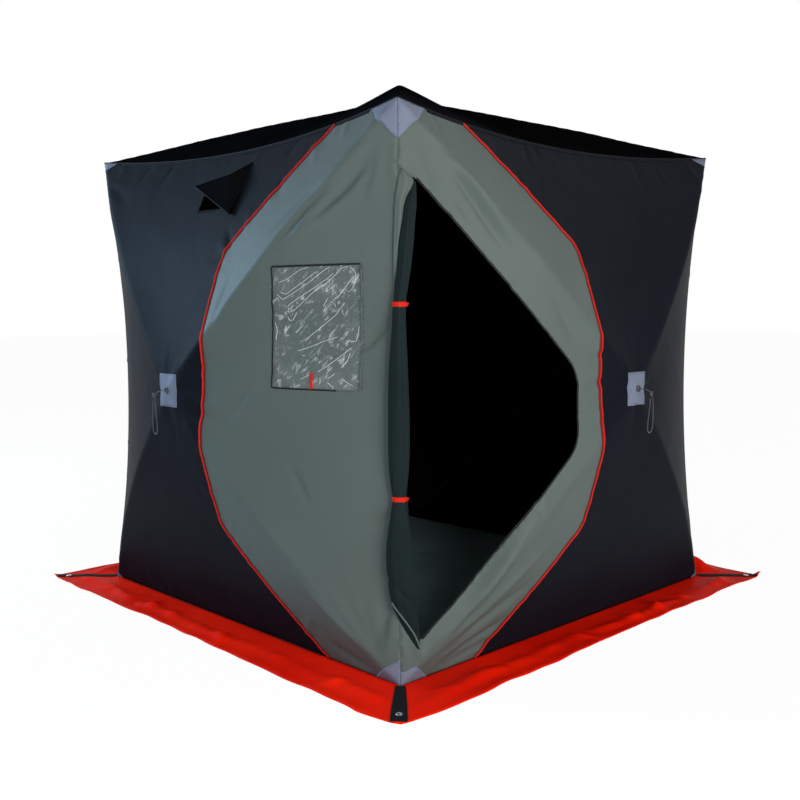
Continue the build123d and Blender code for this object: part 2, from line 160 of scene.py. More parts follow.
class Shader(Nodes):
    """The nodes of a material or a world, and the patterns made with them."""

    def __init__(self, owner: bpy.types.Material | bpy.types.World) -> None:
        """Empties the owner's node tree."""
        owner.use_nodes = True
        super().__init__(owner.node_tree)
        self.tree.nodes.clear()
        self.owner = owner

    def mix(self, share: Value, first: Value, second: Value) -> Signal:
        """Mixes two colours by a share."""
        node = self.node("ShaderNodeMix", {"data_type": "RGBA"}, {0: share, 6: first, 7: second})
        return self.out(node, 2)

    def noise(self, where: Signal, scale: float, detail: float = 3, roughness: float = 0.5) -> Signal:
        """Noise from 0 to 1 at places."""
        values = {"Vector": where, "Scale": scale, "Detail": detail, "Roughness": roughness}
        return self.out(self.node("ShaderNodeTexNoise", {}, values), "Fac")

    def ramp(self, value: Signal, low: float, high: float) -> Signal:
        """Runs smoothly from 0 at a low value to 1 at a high one."""
        node = self.node("ShaderNodeMapRange", {"interpolation_type": "SMOOTHSTEP"},
                         {"Value": value, "From Min": low, "From Max": high})
        return self.out(node, "Result")

    def stretched(self, where: Signal, scale: Colour, turn: float = 0.0) -> Signal:
        """Places turned about Z and scaled, so that a pattern is longer one way."""
        values = {"Vector": where, "Scale": tuple(1 / c for c in scale), "Rotation": (0, 0, turn)}
        return self.out(self.node("ShaderNodeMapping", {"vector_type": "TEXTURE"}, values))

    def object_place(self) -> Signal:
        """The shaded point in the object's own space."""
        return self.out(self.node("ShaderNodeTexCoord"), "Object")

    def cloth_place(self) -> Signal:
        """The shaded point on the flat cloth, in metres."""
        return self.out(self.node("ShaderNodeUVMap", {"uv_map": CLOTH_UV}))

    def parts(self, where: Signal) -> tuple[Signal, Signal, Signal]:
        """The three parts of a vector."""
        node = self.node("ShaderNodeSeparateXYZ", {}, {0: where})
        return self.out(node, 0), self.out(node, 1), self.out(node, 2)

    def bump(self, height: Signal, distance: float, strength: float = 1.0) -> Signal:
        """A normal tilted by a height from 0 to 1 that stands for a distance."""
        values = {"Strength": strength, "Distance": distance, "Height": height}
        return self.out(self.node("ShaderNodeBump", {}, values))

    def finish(self, values: dict[str, Value]) -> bpy.types.Material:
        """Ends the tree with a Principled surface, and gives back the material."""
        surface = self.node("ShaderNodeBsdfPrincipled", {}, values)
        self.node("ShaderNodeOutputMaterial", {}, {"Surface": self.out(surface)})
        return self.owner


def opaque(colour: Colour) -> tuple[float, float, float, float]:
    """A colour with full alpha."""
    return (*colour, 1.0)


@dataclass(frozen=True)
class Cloth:
    """Coated woven cloth: two sets of threads, soft mottling and fine creases."""

    slot: str
    colour: Colour
    shade: Colour
    roughness: float = 0.55
    specular: float = 0.4
    pitch: float = 0.0009
    weave_depth: float = 0.00005
    crease_depth: float = 0.0045
    crease_scale: float = 9.0

    def material(self) -> bpy.types.Material:
        """Makes the material from the cloth's own flat places.

        Returns:
            The material.
        """
        shader = Shader(bpy.data.materials.new(self.slot))
        flat = shader.cloth_place()
        across, along, _ = shader.parts(flat)
        turn = pi / self.pitch
        weave = (across * turn).sine() * (along * turn).sine() * 0.5 + 0.5
        mottle = shader.noise(flat, 2.3, 4)
        one_way = shader.stretched(flat, (1.0, 0.35, 1.0), radians(38))
        other_way = shader.stretched(flat, (0.35, 1.0, 1.0), radians(20))
        creases = (shader.noise(one_way, self.crease_scale, 4) * 0.5
                   + shader.noise(other_way, self.crease_scale, 4) * 0.5)
        tone = shader.mix(shader.ramp(mottle, 0.3, 0.7), opaque(self.colour), opaque(self.shade))
        threads = shader.mix(weave * 0.25, tone, opaque(tuple(0.6 * c for c in self.colour)))
        coarse = shader.bump(creases, self.crease_depth)
        fine = shader.node("ShaderNodeBump", {}, {"Strength": 0.5, "Distance": self.weave_depth,
                                                  "Height": weave, "Normal": coarse})
        return shader.finish({
            "Base Color": threads,
            "Roughness": mottle * 0.12 + (self.roughness - 0.06),
            "Specular IOR Level": self.specular,
            "Normal": shader.out(fine),
        })


@dataclass(frozen=True)
class Webbing:
    """Flat woven tape with ribs across it."""

    slot: str
    colour: Colour
    rib: float = 0.0022
    roughness: float = 0.7

    def material(self) -> bpy.types.Material:
        """Makes ribs and a herringbone over the flat places.

        Returns:
            The material.
        """
        shader = Shader(bpy.data.materials.new(f"{self.slot}_tape"))
        across, along, _ = shader.parts(shader.cloth_place())
        slant = abs((across * (pi / self.rib)).sine()) * self.rib
        ribs = ((along + slant) * (2 * pi / self.rib)).sine() * 0.5 + 0.5
        dust = shader.noise(shader.object_place(), 40, 3)
        tone = shader.mix(ribs * 0.5, opaque(self.colour), opaque(tuple(2.2 * c for c in self.colour)))
        return shader.finish({
            "Base Color": shader.mix(dust * 0.02, tone, opaque((0.2, 0.2, 0.2))),
            "Roughness": self.roughness,
            "Specular IOR Level": 0.04,
            "Normal": shader.bump(ribs, 0.0003),
        })


@dataclass(frozen=True)
class Tape:
    """Satin tape or piping with fine threads wound round it."""

    slot: str
    name: str
    colour: Colour
    roughness: float = 0.38

    def material(self) -> bpy.types.Material:
        """Makes fine threads from object places.

        Returns:
            The material.
        """
        shader = Shader(bpy.data.materials.new(self.name))
        where = shader.object_place()
        x, y, z = shader.parts(where)
        threads = ((x + y + z) * (2 * pi / 0.0016)).sine() * 0.5 + 0.5
        wear = shader.noise(where, 25, 3)
        dark = tuple(0.55 * c for c in self.colour)
        return shader.finish({
            "Base Color": shader.mix(wear * 0.5, opaque(self.colour), opaque(dark)),
            "Roughness": wear * 0.15 + self.roughness,
            "Specular IOR Level": 0.1,
            "Normal": shader.bump(threads, 0.0002, 0.6),
        })


@dataclass(frozen=True)
class Film:
    """Clear plastic film, with painted highlights: broken white lines that stand for lamp reflections on its
    crinkles.
    """

    slot: str
    clear: float = 0.004

    def material(self) -> bpy.types.Material:
        """Makes crinkles, with broken white lines painted on them as highlights.

        Returns:
            The material.
        """
        shader = Shader(bpy.data.materials.new(self.slot))
        flat = shader.cloth_place()
        wander = shader.noise(flat, 7, 4)
        bent = shader.node("ShaderNodeVectorMath", {"operation": "ADD"}, {0: flat, 1: wander * 0.05})
        # glints: painted highlights, streaks of white that stand for reflections of the lamps
        glints = None
        for turn, scale, limit in ((-38, 44.0, 0.50), (-52, 30.0, 0.53), (-12, 52.0, 0.55)):
            long = shader.stretched(shader.out(bent), (1.0, 0.11, 1.0), radians(turn))
            crest = 1 - abs(shader.noise(long, scale, 2) - 0.5) * 2
            streak = shader.ramp(crest, 0.93, 0.99)
            broken = shader.ramp(shader.noise(flat, 31, 3), limit - 0.05, limit + 0.07)
            glints = streak * broken if glints is None else glints + streak * broken
        haze = shader.ramp(shader.noise(flat, 5, 2), 0.45, 0.75)
        return shader.finish({
            "Base Color": opaque((0.93, 0.95, 0.94)),
            "Roughness": 0.16,
            "Specular IOR Level": 0.06,
            # Alpha shows the painted white glints, and a faint real haze of the film
            "Alpha": glints * 0.10 + haze * 0.02 + self.clear,
            "Normal": shader.bump(glints * 0.4 + wander, 0.004),
        })


@dataclass(frozen=True)
class Moulding:
    """Moulded plastic, rod or metal with a fine grain."""

    slot: str
    colour: Colour
    roughness: float
    metallic: float = 0.0
    grain: float = 900.0
    grain_depth: float = 0.00008
    coat: float = 0.0

    def material(self) -> bpy.types.Material:
        """Makes grain and handling marks from object places.

        Returns:
            The material.
        """
        shader = Shader(bpy.data.materials.new(self.slot))
        where = shader.object_place()
        marks = shader.noise(where, 60, 4)
        grain = shader.noise(where, self.grain, 2)
        worn = shader.ramp(marks, 0.55, 0.8)
        pale = tuple(min(1.0, 1.6 * c + 0.02) for c in self.colour)
        return shader.finish({
            "Base Color": shader.mix(worn * 0.5, opaque(self.colour), opaque(pale)),
            "Roughness": worn * 0.2 + self.roughness,
            "Metallic": self.metallic,
            "Coat Weight": self.coat,
            "Normal": shader.bump(grain, self.grain_depth),
        })


@dataclass(frozen=True)
class Braid:
    """Braided cord: strands that cross on a slant."""

    slot: str
    colour: Colour
    pitch: float = 0.0022

    def material(self) -> bpy.types.Material:
        """Makes crossing strands from object places.

        Returns:
            The material.
        """
        shader = Shader(bpy.data.materials.new(self.slot))
        where = shader.object_place()
        x, y, z = shader.parts(where)
        turn = 2 * pi / self.pitch
        one_way = ((z + x + y) * turn).sine()
        other_way = ((z - x - y) * turn).sine()
        strands = one_way * other_way * 0.5 + 0.5
        fluff = shader.noise(where, 300, 3)
        pale = tuple(min(1.0, 2.6 * c) for c in self.colour)
        return shader.finish({
            "Base Color": shader.mix(strands * 0.6 + fluff * 0.2, opaque(self.colour), opaque(pale)),
            "Roughness": 0.8,
            "Specular IOR Level": 0.25,
            "Sheen Weight": 0.3,
            "Normal": shader.bump(strands, 0.0004),
        })


class Look(Enum):
    """The finishes of this shelter."""

    BLACK_CLOTH = Cloth("black_fabric", (0.0042, 0.0054, 0.0082), (0.0058, 0.0072, 0.0108), specular=0.020)
    # A darker, unreflective copy of the black cloth for the vent hood and the roof: painted shade
    BLACK_CLOTH_PAINTED_SHADE = Cloth("black_fabric", (0.0032, 0.0034, 0.0040), (0.0046, 0.0048, 0.0056), specular=0.0)
    GREY_CLOTH = Cloth("grey_fabric", (0.066, 0.084, 0.076), (0.075, 0.094, 0.086), specular=0.12)
    FLAP_CLOTH = Cloth("flap_fabric", (0.0070, 0.0125, 0.0125), (0.0100, 0.0165, 0.0165), specular=0.02)
    FLOOR_CLOTH = Cloth("flap_fabric", (0.260, 0.400, 0.390), (0.340, 0.480, 0.470), specular=0.25,
                        crease_depth=0.010)
    SKIRT_CLOTH = Cloth("skirt_fabric", (0.74, 0.0075, 0.0004), (0.86, 0.0125, 0.0010), specular=0.045,
                        crease_depth=0.006)
    PATCH_CLOTH = Cloth("patch_fabric", (0.112, 0.128, 0.178), (0.136, 0.154, 0.205), specular=0.12,
                        pitch=0.0014)
    LINING = Cloth("black_fabric", (0.003, 0.003, 0.004), (0.004, 0.004, 0.005), 0.8, 0.02)
    STRAP = Webbing("webbing", (0.0045, 0.0045, 0.005))
    BINDING = Tape("black_fabric", "binding_tape", (0.0045, 0.005, 0.0055), 0.6)
    GREY_SEAM = Tape("grey_fabric", "grey_seam", (0.085, 0.112, 0.104), 0.6)
    RED_TRIM = Tape("red_trim", "red_piping", (0.50, 0.012, 0.006), 0.5)
    # The piping's red made far darker for its flat flange: painted shade beside the bead
    RED_FLANGE_PAINTED_SHADE = Tape("red_trim", "red_flange_painted_shade", (0.135, 0.010, 0.009), 0.6)
    RED_THREAD = Tape("skirt_fabric", "red_thread", (0.45, 0.02, 0.005), 0.6)
    PATCH_THREAD = Tape("patch_fabric", "patch_thread", (0.10, 0.10, 0.14), 0.6)
    ORANGE_TIE = Tape("red_trim", "orange_tie", (0.50, 0.016, 0.006), 0.6)
    THREAD = Tape("black_fabric", "thread", (0.05, 0.06, 0.062), 0.6)
    FILM = Film("clear_sheet")
    # Pale plastic for the film's painted highlight lines, which stand for reflections
    FILM_GLINT_PAINT = Moulding("clear_sheet", (0.50, 0.53, 0.52), 0.2, grain_depth=0.00002)
    HUB = Moulding("hub_plastic", (0.012, 0.012, 0.013), 0.45)
    ROD = Moulding("pole_fibreglass", (0.016, 0.016, 0.018), 0.25, coat=0.4, grain_depth=0.00002)
    METAL = Moulding("eyelet_metal", (0.42, 0.42, 0.44), 0.35, metallic=1.0, grain_depth=0.00002)
    CORD = Braid("cord", (0.022, 0.022, 0.024))


class Wardrobe:
    """Makes each look's material once, when it is first used."""

    def __init__(self) -> None:
        """Starts empty."""
        self.made: dict[Look, bpy.types.Material] = {}

    def material(self, look: Look) -> bpy.types.Material:
        """The material of a look."""
        if look not in self.made:
            self.made[look] = look.value.material()
        return self.made[look]


wardrobe = Wardrobe()


# Short helpers for objects, lines and ways
def linked(name: str, data: bpy.types.ID) -> bpy.types.Object:
    """A new object in the scene."""
    made = bpy.data.objects.new(name, data)
    bpy.context.scene.collection.objects.link(made)
    return made


def unit(way: np.ndarray) -> np.ndarray:
    """A way with a length of one."""
    return way / np.linalg.norm(way)


def bell(value: np.ndarray, width: float) -> np.ndarray:
    """A smooth bell: 1 at zero, and near 0 two widths away."""
    return np.exp(-((value / width) ** 2))


def smooth_step(value: np.ndarray) -> np.ndarray:
    """Eases a share from 0 to 1."""
    share = np.clip(value, 0, 1)
    return share * share * (3 - 2 * share)


def bowed(start: np.ndarray, middle: np.ndarray, end: np.ndarray, share: np.ndarray | float) -> np.ndarray:
    """Points a share of the way along a curve that a middle point pulls to itself."""
    return start * (1 - share) ** 2 + middle * 2 * share * (1 - share) + end * share**2


def rectangle(middle: Place, half: Place) -> list[Place]:
    """The corners of a rectangle, from its middle and half its size."""
    return [(middle[0] + i * half[0], middle[1] + j * half[1]) for i, j in CORNER_SIGNS]


def turned(place: Place, turn: float) -> Place:
    """A place turned about the middle by an angle in radians."""
    x, y = place
    return x * cos(turn) - y * sin(turn), x * sin(turn) + y * cos(turn)


def along_line(corners: Sequence[Sequence[float]], step: float, closed: bool = False) -> np.ndarray:
    """Divides the straight runs between corners.

    Args:
        corners: places on flat cloth, or points in space.
        step: the longest distance between two points.
        closed: whether the last corner joins the first.

    Returns:
        The points, one row each.
    """
    ends = list(corners) + ([corners[0]] if closed else [])
    rows = []
    for first, last in zip(ends, ends[1:]):
        first, last = np.array(first, float), np.array(last, float)
        count = max(1, ceil(float(np.linalg.norm(last - first)) / step))
        rows += [first + (last - first) * i / count for i in range(count)]
    return np.array(rows if closed else rows + [np.array(ends[-1], float)])


def eased(line: np.ndarray, passes: int) -> np.ndarray:
    """Softens a line's corners and keeps its ends.

    Args:
        line: its points, one row each.
        passes: how many times each point moves towards its neighbours.

    Returns:
        The softened line.
    """
    line = line.copy()
    for _ in range(passes):
        line[1:-1] = (line[:-2] + 2 * line[1:-1] + line[2:]) / 4
    return line


def left_of(line: np.ndarray) -> np.ndarray:
    """The way to the left of a line of places, at each of them."""
    ways = np.gradient(line, axis=0)
    ways /= np.linalg.norm(ways, axis=1)[:, None]
    return np.column_stack([-ways[:, 1], ways[:, 0]])


# Meshes from points, and where a piece belongs
def piece_from(name: str, points: np.ndarray, faces: Sequence[Sequence[int]], looks: Sequence[Look],
               flat: np.ndarray | None = None) -> bpy.types.Object:
    """Makes a smooth mesh piece.

    Args:
        name: the piece's name.
        points: its points, in the row frame.
        faces: corner indices of each face.
        looks: its looks, the first of which the faces take.
        flat: each point's place on the flat cloth, in metres.

    Returns:
        The new object.
    """
    mesh = bpy.data.meshes.new(name)
    mesh.from_pydata(np.asarray(points, float).tolist(), [], [list(map(int, f)) for f in faces])
    mesh.polygons.foreach_set("use_smooth", [True] * len(mesh.polygons))
    for look in looks:
        mesh.materials.append(wardrobe.material(look))
    if flat is not None:
        corners = np.zeros(len(mesh.loops), np.int32)
        mesh.loops.foreach_get("vertex_index", corners)
        layer = mesh.uv_layers.new(name=CLOTH_UV)
        layer.data.foreach_set("uv", np.asarray(flat, np.float32)[corners].ravel())
    return linked(name, mesh)


def settle(piece: bpy.types.Object, look: Look, *nodes: str) -> bpy.types.Object:
    """Puts a piece on its body and reports it.

    Args:
        piece: the piece.
        look: not used.
        nodes: the CAD nodes that it stands for.

    Returns:
        The same piece.
    """
    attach(piece, BODY)
    if nodes:
        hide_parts(*nodes)
    log.info("made %s", piece.name)
    return piece


def thicken(piece: bpy.types.Object, thickness: float) -> None:
    """Gives a sheet its thickness inward, with its last material on the inner side.

    Args:
        piece: the sheet.
        thickness: how thick it becomes.
    """
    solid = piece.modifiers.new("thickness", "SOLIDIFY")
    solid.thickness = thickness
    solid.offset = -1.0
    solid.material_offset = len(piece.data.materials) - 1


def inside(loop: np.ndarray, places: np.ndarray) -> np.ndarray:
    """Whether each place lies inside a closed loop.

    Args:
        loop: the loop's corners, one row each.
        places: the places that are tested.

    Returns:
        One truth value for each place.
    """
    found = np.zeros(len(places), bool)
    for (x0, y0), (x1, y1) in zip(loop, np.roll(loop, -1, 0)):
        if y0 != y1:
            spans = (places[:, 1] < y0) != (places[:, 1] < y1)
            cross = x0 + (places[:, 1] - y0) * (x1 - x0) / (y1 - y0)
            found ^= spans & (places[:, 0] < cross)
    return found


# Folds in cloth
@dataclass(frozen=True)
class Fold:
    """A ridge, or with a negative height a furrow, between two places on a cloth."""

    start: Place
    end: Place
    height: float
    width: float
    bend: float = 0.0
    open_start: bool = False

    def rise(self, places: np.ndarray) -> np.ndarray:
        """How far the fold lifts each place.

        Args:
            places: places on the flat cloth, one row each.

        Returns:
            A height for each place.
        """
        start, way = np.array(self.start), np.array(self.end) - np.array(self.start)
        length = float(np.linalg.norm(way))
        way /= length
        share = (places - start) @ way / length
        off = (places - start) @ np.array([-way[1], way[0]]) - self.bend * 4 * share * (1 - share)
        fade = smooth_step((1 - share) / 0.45) * (1 if self.open_start else smooth_step(share / 0.45))
        near = (share > -0.2) & (share < 1.2)
        return np.where(near, self.height * fade / np.cosh(np.clip(off / self.width, -20, 20)) ** 1.5, 0.0)


@dataclass
class Relief:
    """All the folds of one cloth, and the loose swell between them."""

    folds: list[Fold] = field(default_factory=list)
    swell: float = 0.0
    swell_size: float = 0.4
    seed: int = 1

    def rise(self, places: np.ndarray) -> np.ndarray:
        """How far the cloth stands off its smooth form.

        Args:
            places: places on the flat cloth, one row each.

        Returns:
            A height for each place.
        """
        total = np.zeros(len(places))
        for fold in self.folds:
            total += fold.rise(places)
        if self.swell:
            rng = np.random.default_rng(self.seed)
            for octave in range(1, 4):
                for _ in range(5):
                    turn, start = rng.uniform(0, 2 * pi, 2)
                    way = np.array([cos(turn), sin(turn)]) * (2 * pi * octave / self.swell_size)
                    total += self.swell / (5 * octave**1.6) * np.sin(places @ way + start)
        return total

    def pucker(self, line: np.ndarray, count: int, length: Place, height: Place, width: Place,
               lean: float = 25.0) -> None:
        """Adds short random folds across a sewn line.

        Args:
            line: places along the seam.
            count: how many folds.
            length: shortest and longest fold.
            height: lowest and highest fold.
            width: narrowest and widest fold.
            lean: how far a fold may lean from square, in degrees.
        """
        rng = np.random.default_rng(self.seed + len(self.folds))
        for _ in range(count):
            at = rng.integers(1, len(line) - 1)
            way = line[at + 1] - line[at - 1]
            way = way / max(float(np.linalg.norm(way)), 1e-9)
            turn = radians(90 + rng.uniform(-lean, lean)) * rng.choice([-1, 1])
            across = np.array(turned(way, turn))
            start = line[at] - across * 0.004
            end = line[at] + across * rng.uniform(*length)
            tall = rng.uniform(*height) * rng.choice([-1, 1])
            self.folds.append(Fold(tuple(start), tuple(end), tall, rng.uniform(*width),
                                   rng.uniform(-0.006, 0.006), open_start=True))

    def fan(self, centre: Place, turns: Place, count: int, length: Place, height: float,
            width: float) -> None:
        """Adds folds that spread from a place where cloth is gathered.

        Args:
            centre: where the folds start.
            turns: first and last direction, in degrees.
            count: how many folds.
            length: shortest and longest fold.
            height: height of the tallest fold.
            width: width of a fold.
        """
        rng = np.random.default_rng(self.seed + 7 + len(self.folds))
        for i in range(count):
            share = (i + rng.uniform(-0.25, 0.25)) / max(count - 1, 1)
            turn = radians(turns[0] + (turns[1] - turns[0]) * share)
            reach = rng.uniform(*length)
            end = (centre[0] + reach * cos(turn), centre[1] + reach * sin(turn))
            tall = height * rng.uniform(0.5, 1.0) * (1 if i % 2 else -1)
            wide, bend = width * rng.uniform(0.7, 1.3), rng.uniform(-0.01, 0.01)
            self.folds.append(Fold(centre, end, tall, wide, bend))


# The shelter's form, by the same rule as the CAD's
@dataclass(frozen=True)
class Form:
    """Driving sizes of the shelter's pulled and pushed surfaces."""

    half_width: float = 0.9
    corner_height: float = 1.8
    base_height: float = 0.003
    hub_height: float = 0.895
    hub_stand_out: float = 0.265
    roof_rise: float = 0.260
    wall_pole_bow: float = 0.045
    roof_pole_bow: float = 0.003
    corner_seam_bow: float = 0.073
    eave_seam_bow: float = 0.077
    panel_pull: float = 0.5
    pole_softening: float = 0.009
    pole_depth: float = 0.012
    seam_margin: float = 0.035

    def corner(self, x_side: float, y_side: float, top: bool) -> np.ndarray:
        """One of the eight corners."""
        height = self.corner_height if top else self.base_height
        return np.array([x_side * self.half_width, y_side * self.half_width, height])

    def pull(self, a: np.ndarray, b: np.ndarray) -> np.ndarray:
        """How far the middle of the edge between two corners is pulled in.

        Args:
            a: one corner.
            b: the next.

        Returns:
            The pull, inward from the straight edge.
        """
        middle = (a + b) / 2
        if abs(a[2] - b[2]) > self.half_width:
            return unit(np.array([-middle[0], -middle[1], 0.0])) * self.corner_seam_bow
        if a[2] > self.half_width:
            return unit(np.array([-middle[0], -middle[1], -self.half_width])) * self.eave_seam_bow
        return np.zeros(3)

    def front_corner(self, height: float) -> np.ndarray:
        """Point on the front corner's seam.

        Args:
            height: its height.

        Returns:
            The point.
        """
        low, high = self.corner(-1, -1, False), self.corner(-1, -1, True)
        share = (height - self.base_height) / (self.corner_height - self.base_height)
        return low + (high - low) * share + self.pull(low, high) * 4 * share * (1 - share)

    def moved(self, point: np.ndarray, depth: float) -> np.ndarray:
        """Moves a point away from the shelter's middle axis.

        Args:
            point: the point.
            depth: how far it moves.

        Returns:
            The moved point.
        """
        grow = 1 + depth / self.half_width
        rise = 1 + depth / (self.corner_height - self.base_height)
        height = self.base_height + (point[2] - self.base_height) * rise
        return np.array([point[0] * grow, point[1] * grow, height])


FORM = Form()


class Surface(Protocol):
    """Something that cloth lies on: it turns flat places into points."""

    def place(self, places: np.ndarray, depth: float = 0.0) -> np.ndarray:
        """Points for places on the flat cloth, a depth outside it."""

    def outward(self) -> np.ndarray:
        """The way that the cloth faces."""


class Side:
    """One side of the shelter: a hub that poles push out, and four panels to the corners."""

    def __init__(self, out: Colour, across: Colour, up: Colour, relief: Relief) -> None:
        """Works out the hub and the corners.

        Args:
            out: the way that the side faces.
            across: the first axis of its drawing plane.
            up: the second axis.
            relief: its folds.
        """
        self.out, self.across, self.up = (np.array(v, float) for v in (out, across, up))
        self.relief = relief
        if self.out[2]:
            self.hub = np.array([0, 0, FORM.corner_height + FORM.roof_rise])
            self.bow = FORM.roof_pole_bow
            self.corners = [FORM.corner(x, y, True) for x, y in CORNER_SIGNS]
        else:
            self.hub = self.out * (FORM.half_width + FORM.hub_stand_out) + np.array([0, 0, FORM.hub_height])
            self.bow = FORM.wall_pole_bow
            first, second = self.out + self.across, self.out - self.across
            ends = ((first, False), (first, True), (second, True), (second, False))
            self.corners = [FORM.corner(end[0], end[1], top) for end, top in ends]

    def flat(self, points: np.ndarray) -> np.ndarray:
        """Places of points on the drawing plane."""
        return np.stack([points @ self.across, points @ self.up], -1)

    def outward(self) -> np.ndarray:
        """The way that the side faces."""
        return self.out

    def edge(self, index: int, count: int = 120) -> np.ndarray:
        """Points along the edge between a corner and the next."""
        a, b = self.corners[index], self.corners[(index + 1) % 4]
        return bowed(a, (a + b) / 2 + 2 * FORM.pull(a, b), b, np.linspace(0, 1, count)[:, None])

    def outline(self) -> np.ndarray:
        """Closed loop of places round the side."""
        return np.concatenate([self.flat(self.edge(i))[:-1] for i in range(4)])

    def pole(self, index: int, share: float) -> np.ndarray:
        """Point on a pole's line, a share of the way from the hub to a corner, on the cloth."""
        end = self.corners[index]
        return bowed(self.hub, (self.hub + end) / 2 + self.out * 2 * self.bow, end, share)

    def lift(self, places: np.ndarray) -> tuple[np.ndarray, np.ndarray]:
        """Points of the smooth form above flat places.

        Args:
            places: places on the drawing plane.

        Returns:
            The points, and how far each is from the edge, in metres.
        """
        points = np.zeros((len(places), 3))
        margin = np.zeros(len(places))
        hub = self.flat(self.hub)
        way = places - hub
        for index in range(4):
            a3, b3 = self.corners[index], self.corners[(index + 1) % 4]
            a, b = self.flat(a3) - hub, self.flat(b3) - hub
            turn = np.sign(a[0] * b[1] - a[1] * b[0])
            here = ((a[0] * way[:, 1] - a[1] * way[:, 0]) * turn >= 0) & (
                (way[:, 0] * b[1] - way[:, 1] * b[0]) * turn > 0)
            if not here.any():
                continue
            w = way[here]
            pull3 = FORM.pull(a3, b3)
            pull = self.flat(pull3)
            c0 = w[:, 0] * a[1] - w[:, 1] * a[0]
            slope = b - a + 4 * pull
            c1 = w[:, 0] * slope[1] - w[:, 1] * slope[0]
            c2 = -4 * (w[:, 0] * pull[1] - w[:, 1] * pull[0])
            t = solve_share(c0, c1, c2)
            edge = a + t[:, None] * (b - a) + (4 * t * (1 - t))[:, None] * pull
            reach = np.linalg.norm(edge, axis=1)
            s = np.linalg.norm(w, axis=1) / np.maximum(reach, 1e-9)
            pole_a = (self.hub + a3) / 2 + self.out * 2 * self.bow
            pole_b = (self.hub + b3) / 2 + self.out * 2 * self.bow
            belly = (pole_a + pole_b) / 2 + pull3 * 2 * FORM.panel_pull
            rim = (a3 + b3) / 2 + 2 * pull3
            t, s1 = t[:, None], s[:, None]
            points[here] = bowed(self.hub, bowed(pole_a, belly, pole_b, t), bowed(a3, rim, b3, t), s1)
            margin[here] = (1 - s) * reach
        at_hub = np.linalg.norm(way, axis=1) < 1e-9
        points[at_hub] = self.hub
        margin[at_hub] = FORM.half_width
        return points, margin

    def place(self, places: np.ndarray, depth: float = 0.0) -> np.ndarray:
        """Points of the folded cloth, rounded over the poles.

        Args:
            places: places on the drawing plane.
            depth: how far outside the cloth they lie.

        Returns:
            One point for each place.
        """
        points, margin = self.lift(places)
        total = points @ self.out
        turns = np.linspace(0, 2 * pi, 8, endpoint=False)
        for turn in turns:
            shifted = places + FORM.pole_softening * np.array([cos(turn), sin(turn)])
            total = total + self.lift(shifted)[0] @ self.out
        smooth = total / (len(turns) + 1)
        fade = smooth_step(margin / FORM.seam_margin)
        level = points @ self.out * (1 - fade) + smooth * fade + self.relief.rise(places) * fade + depth
        return points + self.out * (level - points @ self.out)[:, None]


def solve_share(c0: np.ndarray, c1: np.ndarray, c2: np.ndarray) -> np.ndarray:
    """Solves c0 + c1 t + c2 t² = 0.

    Args:
        c0: the constant terms.
        c1: the factors of t.
        c2: the factors of t squared.

    Returns:
        The roots that lie nearest to the middle of 0 to 1.
    """
    straight = np.where(np.abs(c1) > 1e-12, -c0 / np.where(np.abs(c1) > 1e-12, c1, 1), 0.5)
    root = np.sqrt(np.maximum(c1 * c1 - 4 * c2 * c0, 0))
    safe = np.where(np.abs(c2) > 1e-9, 2 * c2, 1)
    first, second = (-c1 + root) / safe, (-c1 - root) / safe
    curved = np.where(np.abs(first - 0.5) < np.abs(second - 0.5), first, second)
    return np.where(np.abs(c2) > 1e-9, curved, straight)


@dataclass
class Ground:
    """Level ground that cloth lies on in folds, at the height that the flat cloth lies at."""

    relief: Relief
    height: float

    def outward(self) -> np.ndarray:
        """Up."""
        return UP

    def place(self, places: np.ndarray, depth: float = 0.0) -> np.ndarray:
        """Points of cloth that only rises off the ground."""
        lifted = np.maximum(self.relief.rise(places), -self.height * 0.6)
        return np.column_stack([places, self.height + lifted + depth])


